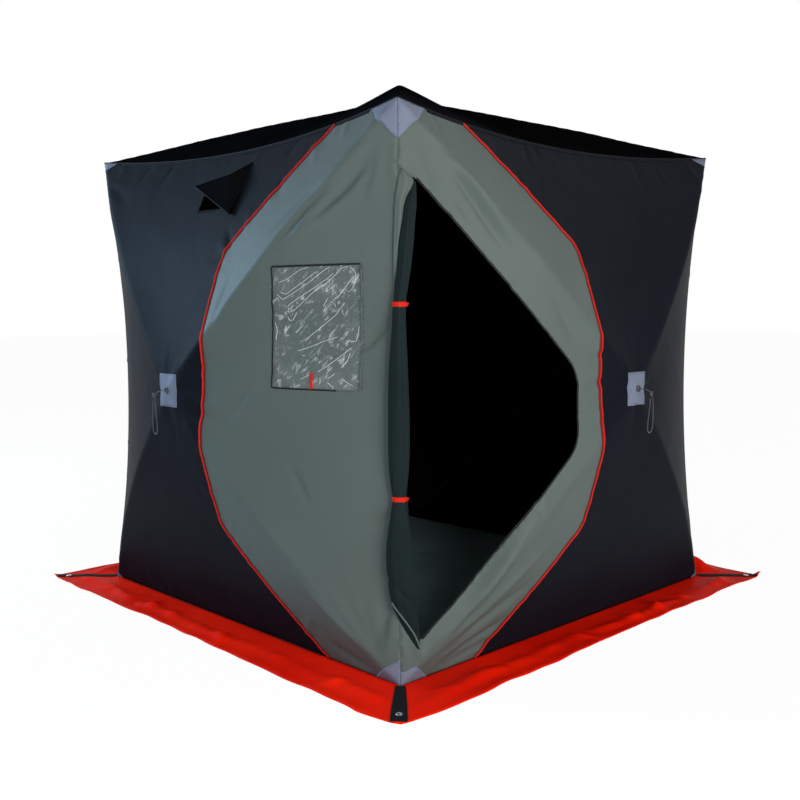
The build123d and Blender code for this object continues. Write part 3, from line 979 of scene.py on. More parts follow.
@dataclass
class Cut:
    """Cloth cut out of a surface: inside each loop, outside each hole, and where keep says so."""

    name: str
    surface: Surface
    looks: tuple[Look, ...]
    loops: list[np.ndarray]
    holes: list[np.ndarray] = field(default_factory=list)
    lines: list[np.ndarray] = field(default_factory=list)
    keep: Callable[[np.ndarray], np.ndarray] | None = None
    spacing: float = 0.012
    thickness: float = 0.0012
    depth: float = 0.0

    def covers(self, places: np.ndarray) -> np.ndarray:
        """Whether each place lies on the cloth.

        Args:
            places: places on the flat cloth.

        Returns:
            One truth value for each place.
        """
        found = np.ones(len(places), bool)
        for loop in self.loops:
            found &= inside(loop, places)
        for hole in self.holes:
            found &= ~inside(hole, places)
        return found & self.keep(places) if self.keep else found

    def triangles(self) -> tuple[np.ndarray, np.ndarray]:
        """Cuts the flat cloth into even triangles that follow its lines.

        Returns:
            Flat places, and triangles of their indices.
        """
        fixed, edges = [], []
        for line, closed in [(x, True) for x in self.loops + self.holes] + [(x, False) for x in self.lines]:
            start = len(fixed)
            fixed += [tuple(p) for p in line]
            last = len(line) if closed else len(line) - 1
            edges += [(start + i, start + (i + 1) % len(line)) for i in range(last)]
        known = KDTree(len(fixed))
        for i, (x, y) in enumerate(fixed):
            known.insert((x, y, 0), i)
        known.balance()
        low, high = np.min(fixed, 0), np.max(fixed, 0)
        row_height = self.spacing * 3**0.5 / 2
        grid = []
        for j in range(int((high[1] - low[1]) / row_height) + 1):
            shift = (j % 2) * self.spacing / 2
            for i in range(int((high[0] - low[0]) / self.spacing) + 1):
                grid.append((low[0] + shift + i * self.spacing, low[1] + j * row_height))
        wanted = self.covers(np.array(grid))
        clear = [p for p, ok in zip(grid, wanted) if ok and known.find((*p, 0))[2] > 0.55 * self.spacing]
        places, _, faces, _, _, _ = delaunay_2d_cdt([Vector(p) for p in fixed + clear], edges, [], 0, 1e-7)
        flat, faces = np.array([(p.x, p.y) for p in places]), np.array(faces)
        return flat, faces[self.covers(flat[faces].mean(1))]

    def make(self, *nodes: str) -> bpy.types.Object:
        """Makes the piece, facing outward, with its thickness.

        Args:
            nodes: the CAD nodes that it stands for.

        Returns:
            The finished piece.
        """
        flat, faces = self.triangles()
        used, faces = np.unique(faces, return_inverse=True)
        flat, faces = flat[used], faces.reshape(-1, 3)
        points = self.surface.place(flat, self.depth)
        a, b, c = (points[faces[:, i]] for i in range(3))
        facing = np.cross(b - a, c - a) @ self.surface.outward()
        faces[facing < 0] = faces[facing < 0][:, ::-1]
        piece = piece_from(self.name, points, faces, self.looks, flat)
        thicken(piece, self.thickness)
        return settle(piece, self.looks[0], *nodes)


def declare_sheet(piece: bpy.types.Object) -> None:
    """Reads a piece's flat cloth places, and does nothing with them.

    Args:
        piece: the cloth, whose thickness is still a modifier.
    """
    places = np.zeros(len(piece.data.loops) * 2, np.float32)
    piece.data.uv_layers[CLOTH_UV].data.foreach_get("uv", places)


# Geometry Nodes that follow a line
class LineTool(Enum):
    """What is made along a line."""

    TUBE = "tube"
    STITCHES = "stitches"


class LineTrees:
    """Builds each Geometry Nodes tree once and runs it on lines of points."""

    def __init__(self) -> None:
        """Starts with no trees."""
        self.trees: dict[LineTool, bpy.types.NodeTree] = {}

    def _start(self, tool: LineTool, sockets: dict[str, str]) -> tuple[Nodes, bpy.types.Node, Signal]:
        """Starts a tree with its inputs.

        Args:
            tool: what the tree makes.
            sockets: the types of its own inputs, by name.

        Returns:
            The tree's nodes, its input node, and the line as a curve with points a pitch apart.
        """
        tree = bpy.data.node_groups.new(f"line_{tool.value}", "GeometryNodeTree")
        kinds = {"Line": "NodeSocketGeometry", "Pitch": "NodeSocketFloat", **sockets,
                 "Finish": "NodeSocketMaterial"}
        for name, kind in kinds.items():
            tree.interface.new_socket(name=name, in_out="INPUT", socket_type=kind)
        tree.interface.new_socket(name="Piece", in_out="OUTPUT", socket_type="NodeSocketGeometry")
        nodes = Nodes(tree)
        given = nodes.node("NodeGroupInput")
        curve = nodes.node("GeometryNodeMeshToCurve", {}, {"Mesh": nodes.out(given, "Line")})
        even = nodes.node("GeometryNodeResampleCurve", {"mode": "LENGTH"},
                          {"Curve": nodes.out(curve), "Length": nodes.out(given, "Pitch")})
        return nodes, given, nodes.out(even)

    def _finish(self, nodes: Nodes, given: bpy.types.Node, made: bpy.types.Node) -> bpy.types.NodeTree:
        """Ends a tree with real geometry, smooth shading and its material.

        Args:
            nodes: the tree's nodes.
            given: its input node.
            made: the node whose first output is the piece.

        Returns:
            The finished tree.
        """
        real = nodes.node("GeometryNodeRealizeInstances", {}, {0: nodes.out(made)})
        smooth = nodes.node("GeometryNodeSetShadeSmooth", {}, {"Geometry": nodes.out(real)})
        painted = nodes.node("GeometryNodeSetMaterial", {},
                             {"Geometry": nodes.out(smooth), "Material": nodes.out(given, "Finish")})
        nodes.node("NodeGroupOutput", {}, {0: nodes.out(painted)})
        return nodes.tree

    def tube(self) -> bpy.types.NodeTree:
        """A round tube along the line.

        Returns:
            The tree, with inputs Pitch and Radius.
        """
        nodes, given, line = self._start(LineTool.TUBE, {"Radius": "NodeSocketFloat"})
        ring = nodes.node("GeometryNodeCurvePrimitiveCircle", {},
                          {"Resolution": 8, "Radius": nodes.out(given, "Radius")})
        swept = nodes.node("GeometryNodeCurveToMesh", {},
                           {"Curve": line, "Profile Curve": nodes.out(ring), "Fill Caps": True})
        return self._finish(nodes, given, swept)

    def stitches(self) -> bpy.types.NodeTree:
        """A small bead at each step along the line, long along it.

        Returns:
            The tree, with inputs Pitch, Size and Out.
        """
        sockets = {"Size": "NodeSocketVector", "Out": "NodeSocketVector"}
        nodes, given, line = self._start(LineTool.STITCHES, sockets)
        points = nodes.node("GeometryNodeCurveToPoints", {"mode": "EVALUATED"}, {0: line})
        bead = nodes.node("GeometryNodeMeshUVSphere", {}, {"Segments": 6, "Rings": 4, "Radius": 0.5})
        along = nodes.node("FunctionNodeAlignRotationToVector", {"axis": "X"},
                           {"Vector": nodes.out(points, "Tangent")})
        facing = nodes.node("FunctionNodeAlignRotationToVector", {"axis": "Z", "pivot_axis": "X"},
                            {"Rotation": nodes.out(along), "Vector": nodes.out(given, "Out")})
        copies = nodes.node("GeometryNodeInstanceOnPoints", {}, {
            "Points": nodes.out(points, "Points"),
            "Instance": nodes.out(bead, "Mesh"),
            "Rotation": nodes.out(facing),
            "Scale": nodes.out(given, "Size"),
        })
        return self._finish(nodes, given, copies)

    def run(self, tool: LineTool, name: str, lines: Sequence[np.ndarray], look: Look,
            values: dict[str, object], nodes: Sequence[str] = ()) -> bpy.types.Object:
        """Makes a piece along one or more lines.

        Args:
            tool: what is made.
            name: the piece's name.
            lines: points of each line, in the row frame.
            look: its look.
            values: the tree's named inputs.
            nodes: the CAD nodes that it stands for.

        Returns:
            A plain mesh piece, on its body.
        """
        if tool not in self.trees:
            self.trees[tool] = {LineTool.TUBE: self.tube, LineTool.STITCHES: self.stitches}[tool]()
        tree = self.trees[tool]
        mesh = bpy.data.meshes.new(name)
        points, edges = [], []
        for line in lines:
            edges += [(len(points) + i, len(points) + i + 1) for i in range(len(line) - 1)]
            points += np.asarray(line, float).tolist()
        mesh.from_pydata(points, edges, [])
        piece = linked(name, mesh)
        grower = piece.modifiers.new("grow", "NODES")
        grower.node_group = tree
        ids = {s.name: s.identifier for s in tree.interface.items_tree if s.in_out == "INPUT"}
        for key, value in {**values, "Finish": wardrobe.material(look)}.items():
            grower[ids[key]] = value
        grown = bpy.data.meshes.new_from_object(piece.evaluated_get(bpy.context.evaluated_depsgraph_get()))
        piece.modifiers.clear()
        piece.data = grown
        grown.name = name
        bpy.data.meshes.remove(mesh)
        return settle(piece, look, *nodes)

    def tube_along(self, name: str, lines: Sequence[np.ndarray], look: Look, radius: float,
                   pitch: float = 0.008, nodes: Sequence[str] = ()) -> bpy.types.Object:
        """A round tube along lines."""
        return self.run(LineTool.TUBE, name, lines, look, {"Pitch": pitch, "Radius": radius}, nodes)

    def stitches_along(self, name: str, lines: Sequence[np.ndarray], look: Look, out: Colour,
                       pitch: float = 0.005, size: Colour = (0.0036, 0.0011, 0.0009)) -> bpy.types.Object:
        """A row of thread stitches along lines."""
        values = {"Pitch": pitch, "Size": size, "Out": tuple(out)}
        return self.run(LineTool.STITCHES, name, lines, look, values)


trees = LineTrees()


# Camera and studio
@dataclass
class Studio:
    """The camera where the photograph was taken from, the floor and the lamps."""

    distance: float = 4.2577
    sideways: float = 0.0571
    height: float = 1.1785
    yaw: float = 0.76731
    pitch: float = -0.09303
    roll: float = -0.00514
    focal_pixels: float = 986.64
    picture_pixels: float = 800.0
    sensor: float = 36.0
    floor_reach: float = 40.0

    def camera(self) -> None:
        """Places the camera on the shelter's diagonal."""
        made = linked("camera", bpy.data.cameras.new("camera"))
        diagonal = Vector((sin(pi / 4), cos(pi / 4), 0))
        beside = Vector((cos(pi / 4), -sin(pi / 4), 0))
        made.location = -diagonal * self.distance + beside * self.sideways + Vector((0, 0, self.height))
        level_part = cos(self.pitch)
        forward = Vector((sin(self.yaw) * level_part, cos(self.yaw) * level_part, sin(self.pitch)))
        level = Vector((cos(self.yaw), -sin(self.yaw), 0))
        over = level.cross(forward)
        right = level * cos(self.roll) + over * sin(self.roll)
        up = over * cos(self.roll) - level * sin(self.roll)
        turn = Matrix((right, up, -forward)).transposed().to_4x4()
        made.matrix_world = Matrix.Translation(made.location) @ turn
        made.data.sensor_width = self.sensor
        made.data.lens = self.focal_pixels / self.picture_pixels * self.sensor
        bpy.context.scene.camera = made

    def lamp(self, name: str, place: Colour, size: float, power: float, colour: Colour = (1, 1, 1),
             aim: Colour = (0, 0, 0.9)) -> None:
        """Adds a soft square lamp.

        Args:
            name: the lamp's name.
            place: where it stands.
            size: how wide it is.
            power: its power in watts.
            colour: its light's colour.
            aim: the point that it faces.
        """
        light = bpy.data.lights.new(name, "AREA")
        light.size = size
        light.energy = power
        light.color = colour
        made = linked(name, light)
        made.location = place
        made.rotation_euler = (Vector(aim) - Vector(place)).to_track_quat("-Z", "Y").to_euler()

    def seen_as_white(self, shader: Shader, share: float, lit: Signal, white: Signal) -> Signal:
        """Mixes a lit shader with plain white where the camera, a mirror or glass sees it.

        Args:
            shader: the nodes that it joins.
            share: how white it is seen.
            lit: what other rays meet.
            white: the plain white.

        Returns:
            The mixed shader.
        """
        rays = shader.node("ShaderNodeLightPath")
        eyes = [shader.out(rays, f"Is {kind} Ray") for kind in ("Camera", "Glossy", "Transmission")]
        seen = 1 - (1 - eyes[0]) * (1 - eyes[1]) * (1 - eyes[2])
        mixed = shader.node("ShaderNodeMixShader", {}, {0: seen * share, 1: lit, 2: white})
        return shader.out(mixed)

    def surroundings(self) -> None:
        """Makes the pale floor and the white world."""
        mesh = bpy.data.meshes.new("floor")
        corners = rectangle((0, 0), (self.floor_reach, self.floor_reach))
        mesh.from_pydata([(x, y, 0) for x, y in corners], [], [(0, 1, 2, 3)])
        floor = linked("floor", mesh)
        pale = bpy.data.materials.new("pale_floor")
        shader = Shader(pale)
        lit = shader.node("ShaderNodeBsdfDiffuse", {}, {"Color": opaque((0.86, 0.86, 0.86))})
        white = shader.node("ShaderNodeEmission", {}, {"Color": opaque((1, 1, 1)), "Strength": 1.0})
        surface = self.seen_as_white(shader, 0.97, shader.out(lit), shader.out(white))
        shader.node("ShaderNodeOutputMaterial", {}, {"Surface": surface})
        mesh.materials.append(pale)
        world = bpy.data.worlds.new("studio")
        bpy.context.scene.world = world
        shader = Shader(world)
        lit = shader.node("ShaderNodeBackground", {}, {"Color": opaque((0.92, 0.96, 1.0)), "Strength": 0.19})
        white = shader.node("ShaderNodeBackground", {}, {"Color": opaque((1, 1, 1)), "Strength": 1.0})
        surface = self.seen_as_white(shader, 1.0, shader.out(lit), shader.out(white))
        shader.node("ShaderNodeOutputWorld", {}, {"Surface": surface})

    def build(self) -> None:
        """Sets the view transform and makes everything but the shelter."""
        bpy.context.scene.view_settings.view_transform = "Standard"
        self.camera()
        self.surroundings()
        self.lamp("key_lamp", (-0.9, -5.3, 0.5), 1.8, 168, (1.0, 0.985, 0.97))
        self.lamp("left_lamp", (-5.2, -1.2, 1.3), 1.9, 55, (0.86, 0.94, 1.0))
        self.lamp("rim_lamp", (-3.6, 5.4, 3.0), 2.6, 460, (0.44, 0.72, 1.0))
        self.lamp("front_lamp", (-3.6, -3.6, 2.6), 2.0, 9)
        self.lamp("door_lamp", (-1.9, -4.0, 1.9), 0.8, 70, (1.0, 1.0, 1.0), (-0.1, -0.1, 0.0))


def overhand(middle: np.ndarray, out: np.ndarray, size: float) -> np.ndarray:
    """The line of a cord in an overhand knot.

    Args:
        middle: the knot's middle.
        out: the way that its wall faces.
        size: half of its width.

    Returns:
        Points along the cord.
    """
    t = np.linspace(0, 2 * pi, 73)[:, None]
    across = np.cross(UP, out)
    wound = (across * (np.sin(t) + 2 * np.sin(2 * t)) + UP * (np.cos(t) - 2 * np.cos(2 * t))
             - out * 1.2 * np.sin(3 * t))
    return middle + wound * size / 2.4


# Pull cords
@dataclass
class PullCords:
    """The four cords that hang from the wall hubs in a tied loop."""

    diameter: float = 0.0035
    length: float = 0.334
    route: tuple[Colour, ...] = (
        (-0.008, 0.0, 0.0),
        (0.012, 0.0, 0.0),
        (0.035, 0.001, -0.001),
        (0.050, 0.005, -0.015),
        (0.053, 0.010, -0.042),
        (0.052, 0.014, -0.076),
        (0.050, 0.016, -0.110),
        (0.049, 0.015, -0.134),
        (0.048, 0.010, -0.147),
        (0.048, -0.003, -0.151),
        (0.048, -0.013, -0.143),
        (0.049, -0.015, -0.124),
        (0.050, -0.012, -0.092),
        (0.052, -0.008, -0.060),
        (0.052, -0.004, -0.030),
    )
    knot_size: float = 0.0062
    knot_drop: float = 0.013

    def build(self, walls: dict[str, Side]) -> None:
        """Makes each wall's cord and its knot.

        Args:
            walls: the walls by their CAD names.
        """
        for name, side in walls.items():
            across = np.cross(UP, side.out)
            points = [side.hub + side.out * o + across * a + UP * u for o, a, u in self.route]
            curve = bpy.data.curves.new(f"{name}_cord", "CURVE")
            curve.dimensions = "3D"
            curve.bevel_depth = self.diameter / 2
            curve.bevel_resolution = 4
            curve.resolution_u = 10
            curve.use_fill_caps = True
            line = curve.splines.new("NURBS")
            line.points.add(len(points) - 1)
            for spot, point in zip(line.points, points):
                spot.co = (*point, 1.0)
            line.order_u = 3
            line.use_endpoint_u = True
            curve.materials.append(wardrobe.material(Look.CORD))
            cord = linked(f"{name}_cord", curve)
            settle(cord, Look.CORD, f"{name}_pull_cord")
            top = side.hub + side.out * self.route[-1][0] - UP * self.knot_drop
            knot_line = overhand(top, side.out, self.knot_size)
            knot = trees.tube_along(f"{name}_cord_knot", [knot_line], Look.CORD, self.diameter * 0.55, 0.0022)
            exit_point = side.hub + side.out * self.route[1][0]


# Painted highlights: white lines on the window's film that stand for lamp reflections on its crinkles, from
# its lower left corner, in metres
FILM_GLINT_LINES = (
    ((0.021, 0.338), (0.050, 0.348), (0.093, 0.376), (0.122, 0.383)),
    ((0.014, 0.300), (0.033, 0.283), (0.079, 0.309), (0.127, 0.340), (0.175, 0.376), (0.190, 0.383)),
    ((0.026, 0.307), (0.045, 0.300), (0.122, 0.352), (0.146, 0.369)),
    ((0.050, 0.261), (0.059, 0.271), (0.098, 0.295), (0.137, 0.319), (0.175, 0.343), (0.199, 0.362)),
    ((0.052, 0.257), (0.050, 0.242), (0.069, 0.247), (0.122, 0.295), (0.161, 0.328)),
    ((0.050, 0.228), (0.055, 0.216), (0.067, 0.218), (0.079, 0.242)),
    ((0.141, 0.309), (0.166, 0.324), (0.195, 0.348), (0.224, 0.376), (0.243, 0.382)),
    ((0.209, 0.285), (0.224, 0.304), (0.243, 0.328), (0.262, 0.352)),
    ((0.252, 0.380), (0.265, 0.367), (0.267, 0.338), (0.257, 0.314), (0.243, 0.304)),
    ((0.108, 0.151), (0.127, 0.170), (0.146, 0.185), (0.175, 0.209), (0.204, 0.233), (0.233, 0.271)),
    ((0.084, 0.120), (0.122, 0.132), (0.166, 0.151), (0.209, 0.165)),
    ((0.151, 0.055), (0.175, 0.070), (0.224, 0.108), (0.252, 0.132)),
    ((0.098, 0.031), (0.122, 0.043)),
    ((0.228, 0.034), (0.243, 0.024), (0.260, 0.014)),
    ((0.185, 0.036), (0.204, 0.050)),
    ((0.252, 0.151), (0.267, 0.153), (0.277, 0.199)),
    ((0.007, 0.209), (0.012, 0.180), (0.008, 0.156)),
    ((0.166, 0.261), (0.180, 0.285)),
    ((0.199, 0.271), (0.204, 0.259)),
    ((0.182, 0.022), (0.204, 0.005)),
    ((0.224, 0.070), (0.243, 0.094), (0.250, 0.117)),
)


# The long folds that show in the two front walls: start, end, height, width and bend, in metres
DOOR_FOLDS = (
    ((0.754, 0.104), (0.620, 0.270), -0.0090, 0.010),
    ((0.790, 0.020), (0.400, 0.165), -0.0195, 0.014, 0.010),
    ((0.780, 0.005), (0.440, 0.090), -0.0120, 0.010, 0.006),
    ((0.780, 0.055), (0.330, 0.290), -0.0150, 0.013),
    ((0.800, 0.075), (0.300, 0.420), 0.0135, 0.014),
    ((0.720, 0.190), (0.470, 0.470), 0.0150, 0.014),
    ((0.790, 0.090), (0.330, 0.640), 0.0120, 0.017),
    ((0.740, 0.220), (0.400, 0.600), -0.0090, 0.012),
    ((0.775, 1.650), (0.520, 1.320), -0.0165, 0.010),
    ((0.755, 1.665), (0.470, 1.310), 0.0120, 0.012),
    ((0.785, 1.590), (0.630, 1.410), -0.0090, 0.010),
    ((0.810, 1.610), (0.690, 1.480), 0.0060, 0.009),
    ((0.400, 1.240), (0.250, 1.020), -0.0075, 0.012),
    ((0.420, 0.420), (0.240, 0.640), -0.0075, 0.012),
    ((0.862, 0.300), (0.852, 0.060), -0.0090, 0.009),
    ((0.870, 0.200), (0.820, 0.040), 0.0090, 0.009),
)
WINDOW_FOLDS = (
    ((0.790, 1.640), (0.430, 1.325), -0.0135, 0.011),
    ((0.730, 1.610), (0.420, 1.410), -0.0105, 0.010),
    ((0.800, 1.560), (0.470, 1.330), 0.0105, 0.013),
    ((0.850, 1.665), (0.580, 1.400), -0.0105, 0.009),
    ((0.770, 1.630), (0.530, 1.380), 0.0105, 0.011),
    ((0.498, 0.700), (0.600, 0.515), -0.0075, 0.009),
    ((0.840, 0.040), (0.470, 0.385), 0.0105, 0.012),
    ((0.825, 0.004), (0.560, 0.095), -0.0150, 0.015),
    ((0.885, 1.195), (0.700, 1.010), -0.0135, 0.011),
    ((0.885, 1.190), (0.760, 1.170), 0.0075, 0.010),
    ((0.885, 0.585), (0.770, 0.480), -0.0090, 0.010),
    ((0.830, 1.480), (0.850, 0.750), -0.0060, 0.020),
    ((0.400, 0.980), (0.250, 0.760), -0.0075, 0.014),
    ((0.860, 0.320), (0.800, 0.050), -0.0090, 0.011),
    ((0.875, 0.260), (0.850, 0.050), 0.0090, 0.009),
    ((0.300, 1.330), (0.220, 1.080), -0.0060, 0.013),
)


# Walls and roof
@dataclass
class Walls:
    """The four walls and the roof, cut from their pulled and pushed surfaces."""

    piping_line: tuple[Place, ...] = (
        (0.690, 1.870), (0.186, 1.384), (0.184, 1.088), (0.167, 0.702), (0.188, 0.428), (0.600, -0.040))
    door_upright: float = 0.836
    door_top: float = 1.572
    door_bottom: float = 0.138
    door_side: float = 0.271
    door_side_top: float = 0.962
    door_side_bottom: float = 0.720
    door_rounding: float = 0.060
    # Lower left, lower right, upper right, upper left, as the cloth pulls them
    window_corners: tuple[Place, ...] = ((0.452, 0.924), (0.733, 0.919), (0.752, 1.313), (0.481, 1.309))
    vent_middle: Place = (0.010, 1.568)
    vent_size: Place = (0.200, 0.066)
    cord_hole: float = 0.006
    eave_seam_radius: float = 0.0026
    corner_seam_radius: float = 0.0024
    front_seam_radius: float = 0.0016
    seam_from: float = 0.10
    seam_to: float = 1.672
    band_from: float = 0.768
    band_width: float = 0.011
    front_spacing: float = 0.0105
    rear_spacing: float = 0.018
    thickness: float = 0.0012

    def __post_init__(self) -> None:
        """Sets up the five sides."""
        self.door = Side((0, -1, 0), (-1, 0, 0), (0, 0, 1), Relief(seed=11, swell=0.0016))
        self.window = Side((-1, 0, 0), (0, -1, 0), (0, 0, 1), Relief(seed=12, swell=0.0016))
        self.side = Side((1, 0, 0), (0, 1, 0), (0, 0, 1), Relief(seed=13, swell=0.002))
        self.back = Side((0, 1, 0), (1, 0, 0), (0, 0, 1), Relief(seed=14, swell=0.002))
        self.roof = Side((0, 0, 1), (1, 0, 0), (0, 1, 0), Relief(seed=15, swell=0.002))
        self.fold_cloth()

    def named(self) -> dict[str, Side]:
        """The four walls by their CAD names."""
        return {"door_wall": self.door, "window_wall": self.window, "side_wall": self.side,
                "back_wall": self.back}

    def sides(self) -> dict[str, Side]:
        """The four walls and the roof by their CAD names."""
        return {**self.named(), "roof": self.roof}

    def piping(self, step: float = 0.012) -> np.ndarray:
        """Places along the line between the grey and the black cloth, its corners eased."""
        return eased(along_line(self.piping_line, step), 6)

    def in_front(self, places: np.ndarray) -> np.ndarray:
        """Whether places lie on the front corner's side of the piping.

        Args:
            places: places on the wall.

        Returns:
            One truth value for each place.
        """
        line = self.piping()
        loop = np.concatenate([line, [[3.0, line[-1][1]], [3.0, line[0][1]]]])
        return inside(loop, places)

    def doorway(self, grow: float = 0.0, step: float = 0.01) -> np.ndarray:
        """Closed loop of the doorway, with its two far corners rounded.

        Args:
            grow: how far outside the opening the loop runs.
            step: distance between places.

        Returns:
            The loop's places.
        """
        corners = [(self.door_upright, self.door_bottom), (self.door_upright, self.door_top),
                   (self.door_side, self.door_side_top), (self.door_side, self.door_side_bottom)]
        middle = np.mean(corners, 0)
        ways = [np.array(p) - middle for p in corners]
        grown = [middle + w * (1 + grow / np.linalg.norm(w) * 1.25) for w in ways]
        loop = []
        for index, at in enumerate(grown):
            before, after = grown[index - 1], grown[(index + 1) % 4]
            if index < 2:
                loop.append(at)
                continue
            back, ahead = unit(before - at), unit(after - at)
            for t in np.linspace(0, 1, 9):
                loop.append(bowed(at + back * self.door_rounding, at, at + ahead * self.door_rounding, t))
        return along_line([tuple(p) for p in loop], step, closed=True)

    def window_loop(self, grow: float = 0.0, step: float = 0.01) -> np.ndarray:
        """Closed loop round the window.

        Args:
            grow: how far it is grown on all sides.
            step: distance between places.

        Returns:
            The loop's places.
        """
        corners = np.array(self.window_corners)
        away = np.sign(corners - corners.mean(0)) * grow
        return along_line([tuple(p) for p in corners + away], step, closed=True)

    def window_place(self, across: float, up: float) -> Place:
        """A wall place from shares of the window's width and height.

        Args:
            across: the share of its width.
            up: the share of its height.

        Returns:
            The place.
        """
        low_left, low_right, top_right, top_left = np.array(self.window_corners)
        low = low_left + (low_right - low_left) * across
        return tuple(low + (top_left + (top_right - top_left) * across - low) * up)

    def hub_hole(self, side: Side) -> np.ndarray:
        """Small round hole at a wall's tip."""
        turns = np.linspace(0, 2 * pi, 12, endpoint=False)
        return side.flat(side.hub) + self.cord_hole * np.stack([np.cos(turns), np.sin(turns)], -1)

    def fold_cloth(self) -> None:
        """Adds the folds that show in the cloth of each side."""
        for side in (self.door, self.window):
            side.relief.pucker(self.piping(), 50, (0.03, 0.12), (0.001, 0.0032), (0.007, 0.013))
            side.relief.fan((0.862, 1.712), (196, 262), 9, (0.14, 0.36), 0.0042, 0.009)
            side.relief.fan((0.850, 0.055), (98, 168), 13, (0.14, 0.42), 0.0048, 0.010)
        for side in self.sides().values():
            for index in range(4):
                edge = side.flat(side.edge(index))
                side.relief.pucker(edge, 30, (0.03, 0.14), (0.001, 0.0034), (0.008, 0.015), 20)
        for side in self.named().values():
            for centre, turns in (((-0.86, 1.72), (-80, -12)), ((-0.86, 0.06), (12, 80))):
                side.relief.fan(centre, turns, 8, (0.12, 0.40), 0.0036, 0.011)
            for turn in (45, 135, 225, 315):
                hub = tuple(side.flat(side.hub))
                side.relief.fan(hub, (turn - 38, turn + 38), 5, (0.10, 0.26), 0.0022, 0.010)
        self.window.relief.pucker(self.window_loop(0.01), 34, (0.02, 0.08), (0.001, 0.003), (0.006, 0.011))
        self.door.relief.pucker(self.doorway(0.01), 34, (0.02, 0.07), (0.0008, 0.003), (0.006, 0.011))
        self.door.relief.folds += [Fold(*row) for row in DOOR_FOLDS]
        self.window.relief.folds += [Fold(*row) for row in WINDOW_FOLDS]
        roof = self.roof.relief.folds
        roof.append(Fold((-0.875, -0.897), (-0.43, -0.45), 0.013, 0.105, open_start=True))
        roof.append(Fold((-0.95, -0.60), (0.95, -0.60), 0.013, 0.22, open_start=True))
        roof.append(Fold((-0.60, -0.95), (-0.60, 0.95), 0.013, 0.22, open_start=True))

    def front_wall(self, side: Side, name: str, grey_holes: list[np.ndarray],
                   black_holes: list[np.ndarray]) -> None:
        """Cuts one front wall into its grey and its black cloth.

        Args:
            side: the wall.
            name: its CAD name.
            grey_holes: openings in the grey cloth.
            black_holes: openings in the black cloth.
        """
        outline, line = side.outline(), self.piping()
        reach = line[inside(outline, line)]
        cloths = (("grey", Look.GREY_CLOTH, grey_holes, self.in_front),
                  ("black", Look.BLACK_CLOTH, black_holes, lambda places: ~self.in_front(places)))
        for shade, look, holes, keep in cloths:
            cut = Cut(f"{name}_{shade}_cloth", side, (look, Look.LINING), [outline], holes, [reach], keep,
                      self.front_spacing, self.thickness)
            declare_sheet(cut.make(f"{name}_{shade}_panel"))

    def plain_side(self, side: Side, name: str, look: Look, holes: list[np.ndarray]) -> None:
        """Cuts a side that is one cloth.

        Args:
            side: the side.
            name: its CAD name.
            look: the look of its outer face.
            holes: openings in it.
        """
        cut = Cut(f"{name}_cloth", side, (look, Look.LINING), [side.outline()], holes,
                  spacing=self.rear_spacing, thickness=self.thickness)
        declare_sheet(cut.make(name))

    def seams(self) -> None:
        """Makes the taped seams along the eaves and the upright corners."""
        eaves = [self.roof.edge(i) for i in range(4)]
        trees.tube_along("eave_seams", eaves, Look.BINDING, self.eave_seam_radius)
        uprights = [self.door.edge(2), self.side.edge(2), self.back.edge(2)]
        trees.tube_along("corner_seams", uprights, Look.BINDING, self.corner_seam_radius)
        front = self.door.edge(0)
        front = front[(front[:, 2] > self.seam_from) & (front[:, 2] < self.seam_to)]
        trees.tube_along("front_corner_seam", [front], Look.GREY_SEAM, self.front_seam_radius)
        for name, side in (("door_wall", self.door), ("window_wall", self.window)):
            eave = side.flat(side.edge(1, 200))
            eave = eave[np.abs(eave[:, 0]) < self.band_from]
            Strip(f"{name}_eave_band", side, eave, 0.0, self.band_width, Look.BLACK_CLOTH).make()

    def build(self) -> None:
        """Makes the walls, the roof and their seams."""
        half_vent = (self.vent_size[0] / 2, self.vent_size[1] / 2)
        vent = along_line(rectangle(self.vent_middle, half_vent), 0.01, closed=True)
        self.front_wall(self.door, "door_wall", [self.doorway()], [self.hub_hole(self.door)])
        self.front_wall(self.window, "window_wall", [self.window_loop()], [vent, self.hub_hole(self.window)])
        self.plain_side(self.side, "side_wall", Look.BLACK_CLOTH, [self.hub_hole(self.side)])
        self.plain_side(self.back, "back_wall", Look.BLACK_CLOTH, [self.hub_hole(self.back)])
        # The roof takes the darker copy of the black cloth: painted shade
        self.plain_side(self.roof, "roof", Look.BLACK_CLOTH_PAINTED_SHADE, [])
        self.seams()


# Strips and tubes of cloth
def rows_piece(name: str, rows: np.ndarray, look: Look, flat: np.ndarray, outward: np.ndarray | None = None,
               ring: bool = False) -> bpy.types.Object:
    """Joins rows of points into a piece.

    Args:
        name: the piece's name.
        rows: points, as rows by columns by three.
        look: its look.
        flat: each point's place on the flat cloth.
        outward: the way that the piece faces, or nothing for a tube that closes on itself.
        ring: whether each row's last point joins its first.

    Returns:
        The new object.
    """
    count, width = rows.shape[:2]
    across = width if ring else width - 1
    faces = []
    for i in range(0, (count - 1) * width, width):
        for j in range(across):
            k = (j + 1) % width
            faces.append((i + j, i + k, i + width + k, i + width + j))
    points = rows.reshape(-1, 3)
    if outward is not None:
        a, b, c = (points[faces[0][k]] for k in range(3))
        if np.cross(b - a, c - a) @ outward < 0:
            faces = [face[::-1] for face in faces]
    return piece_from(name, points, faces, [look], flat.reshape(-1, 2))


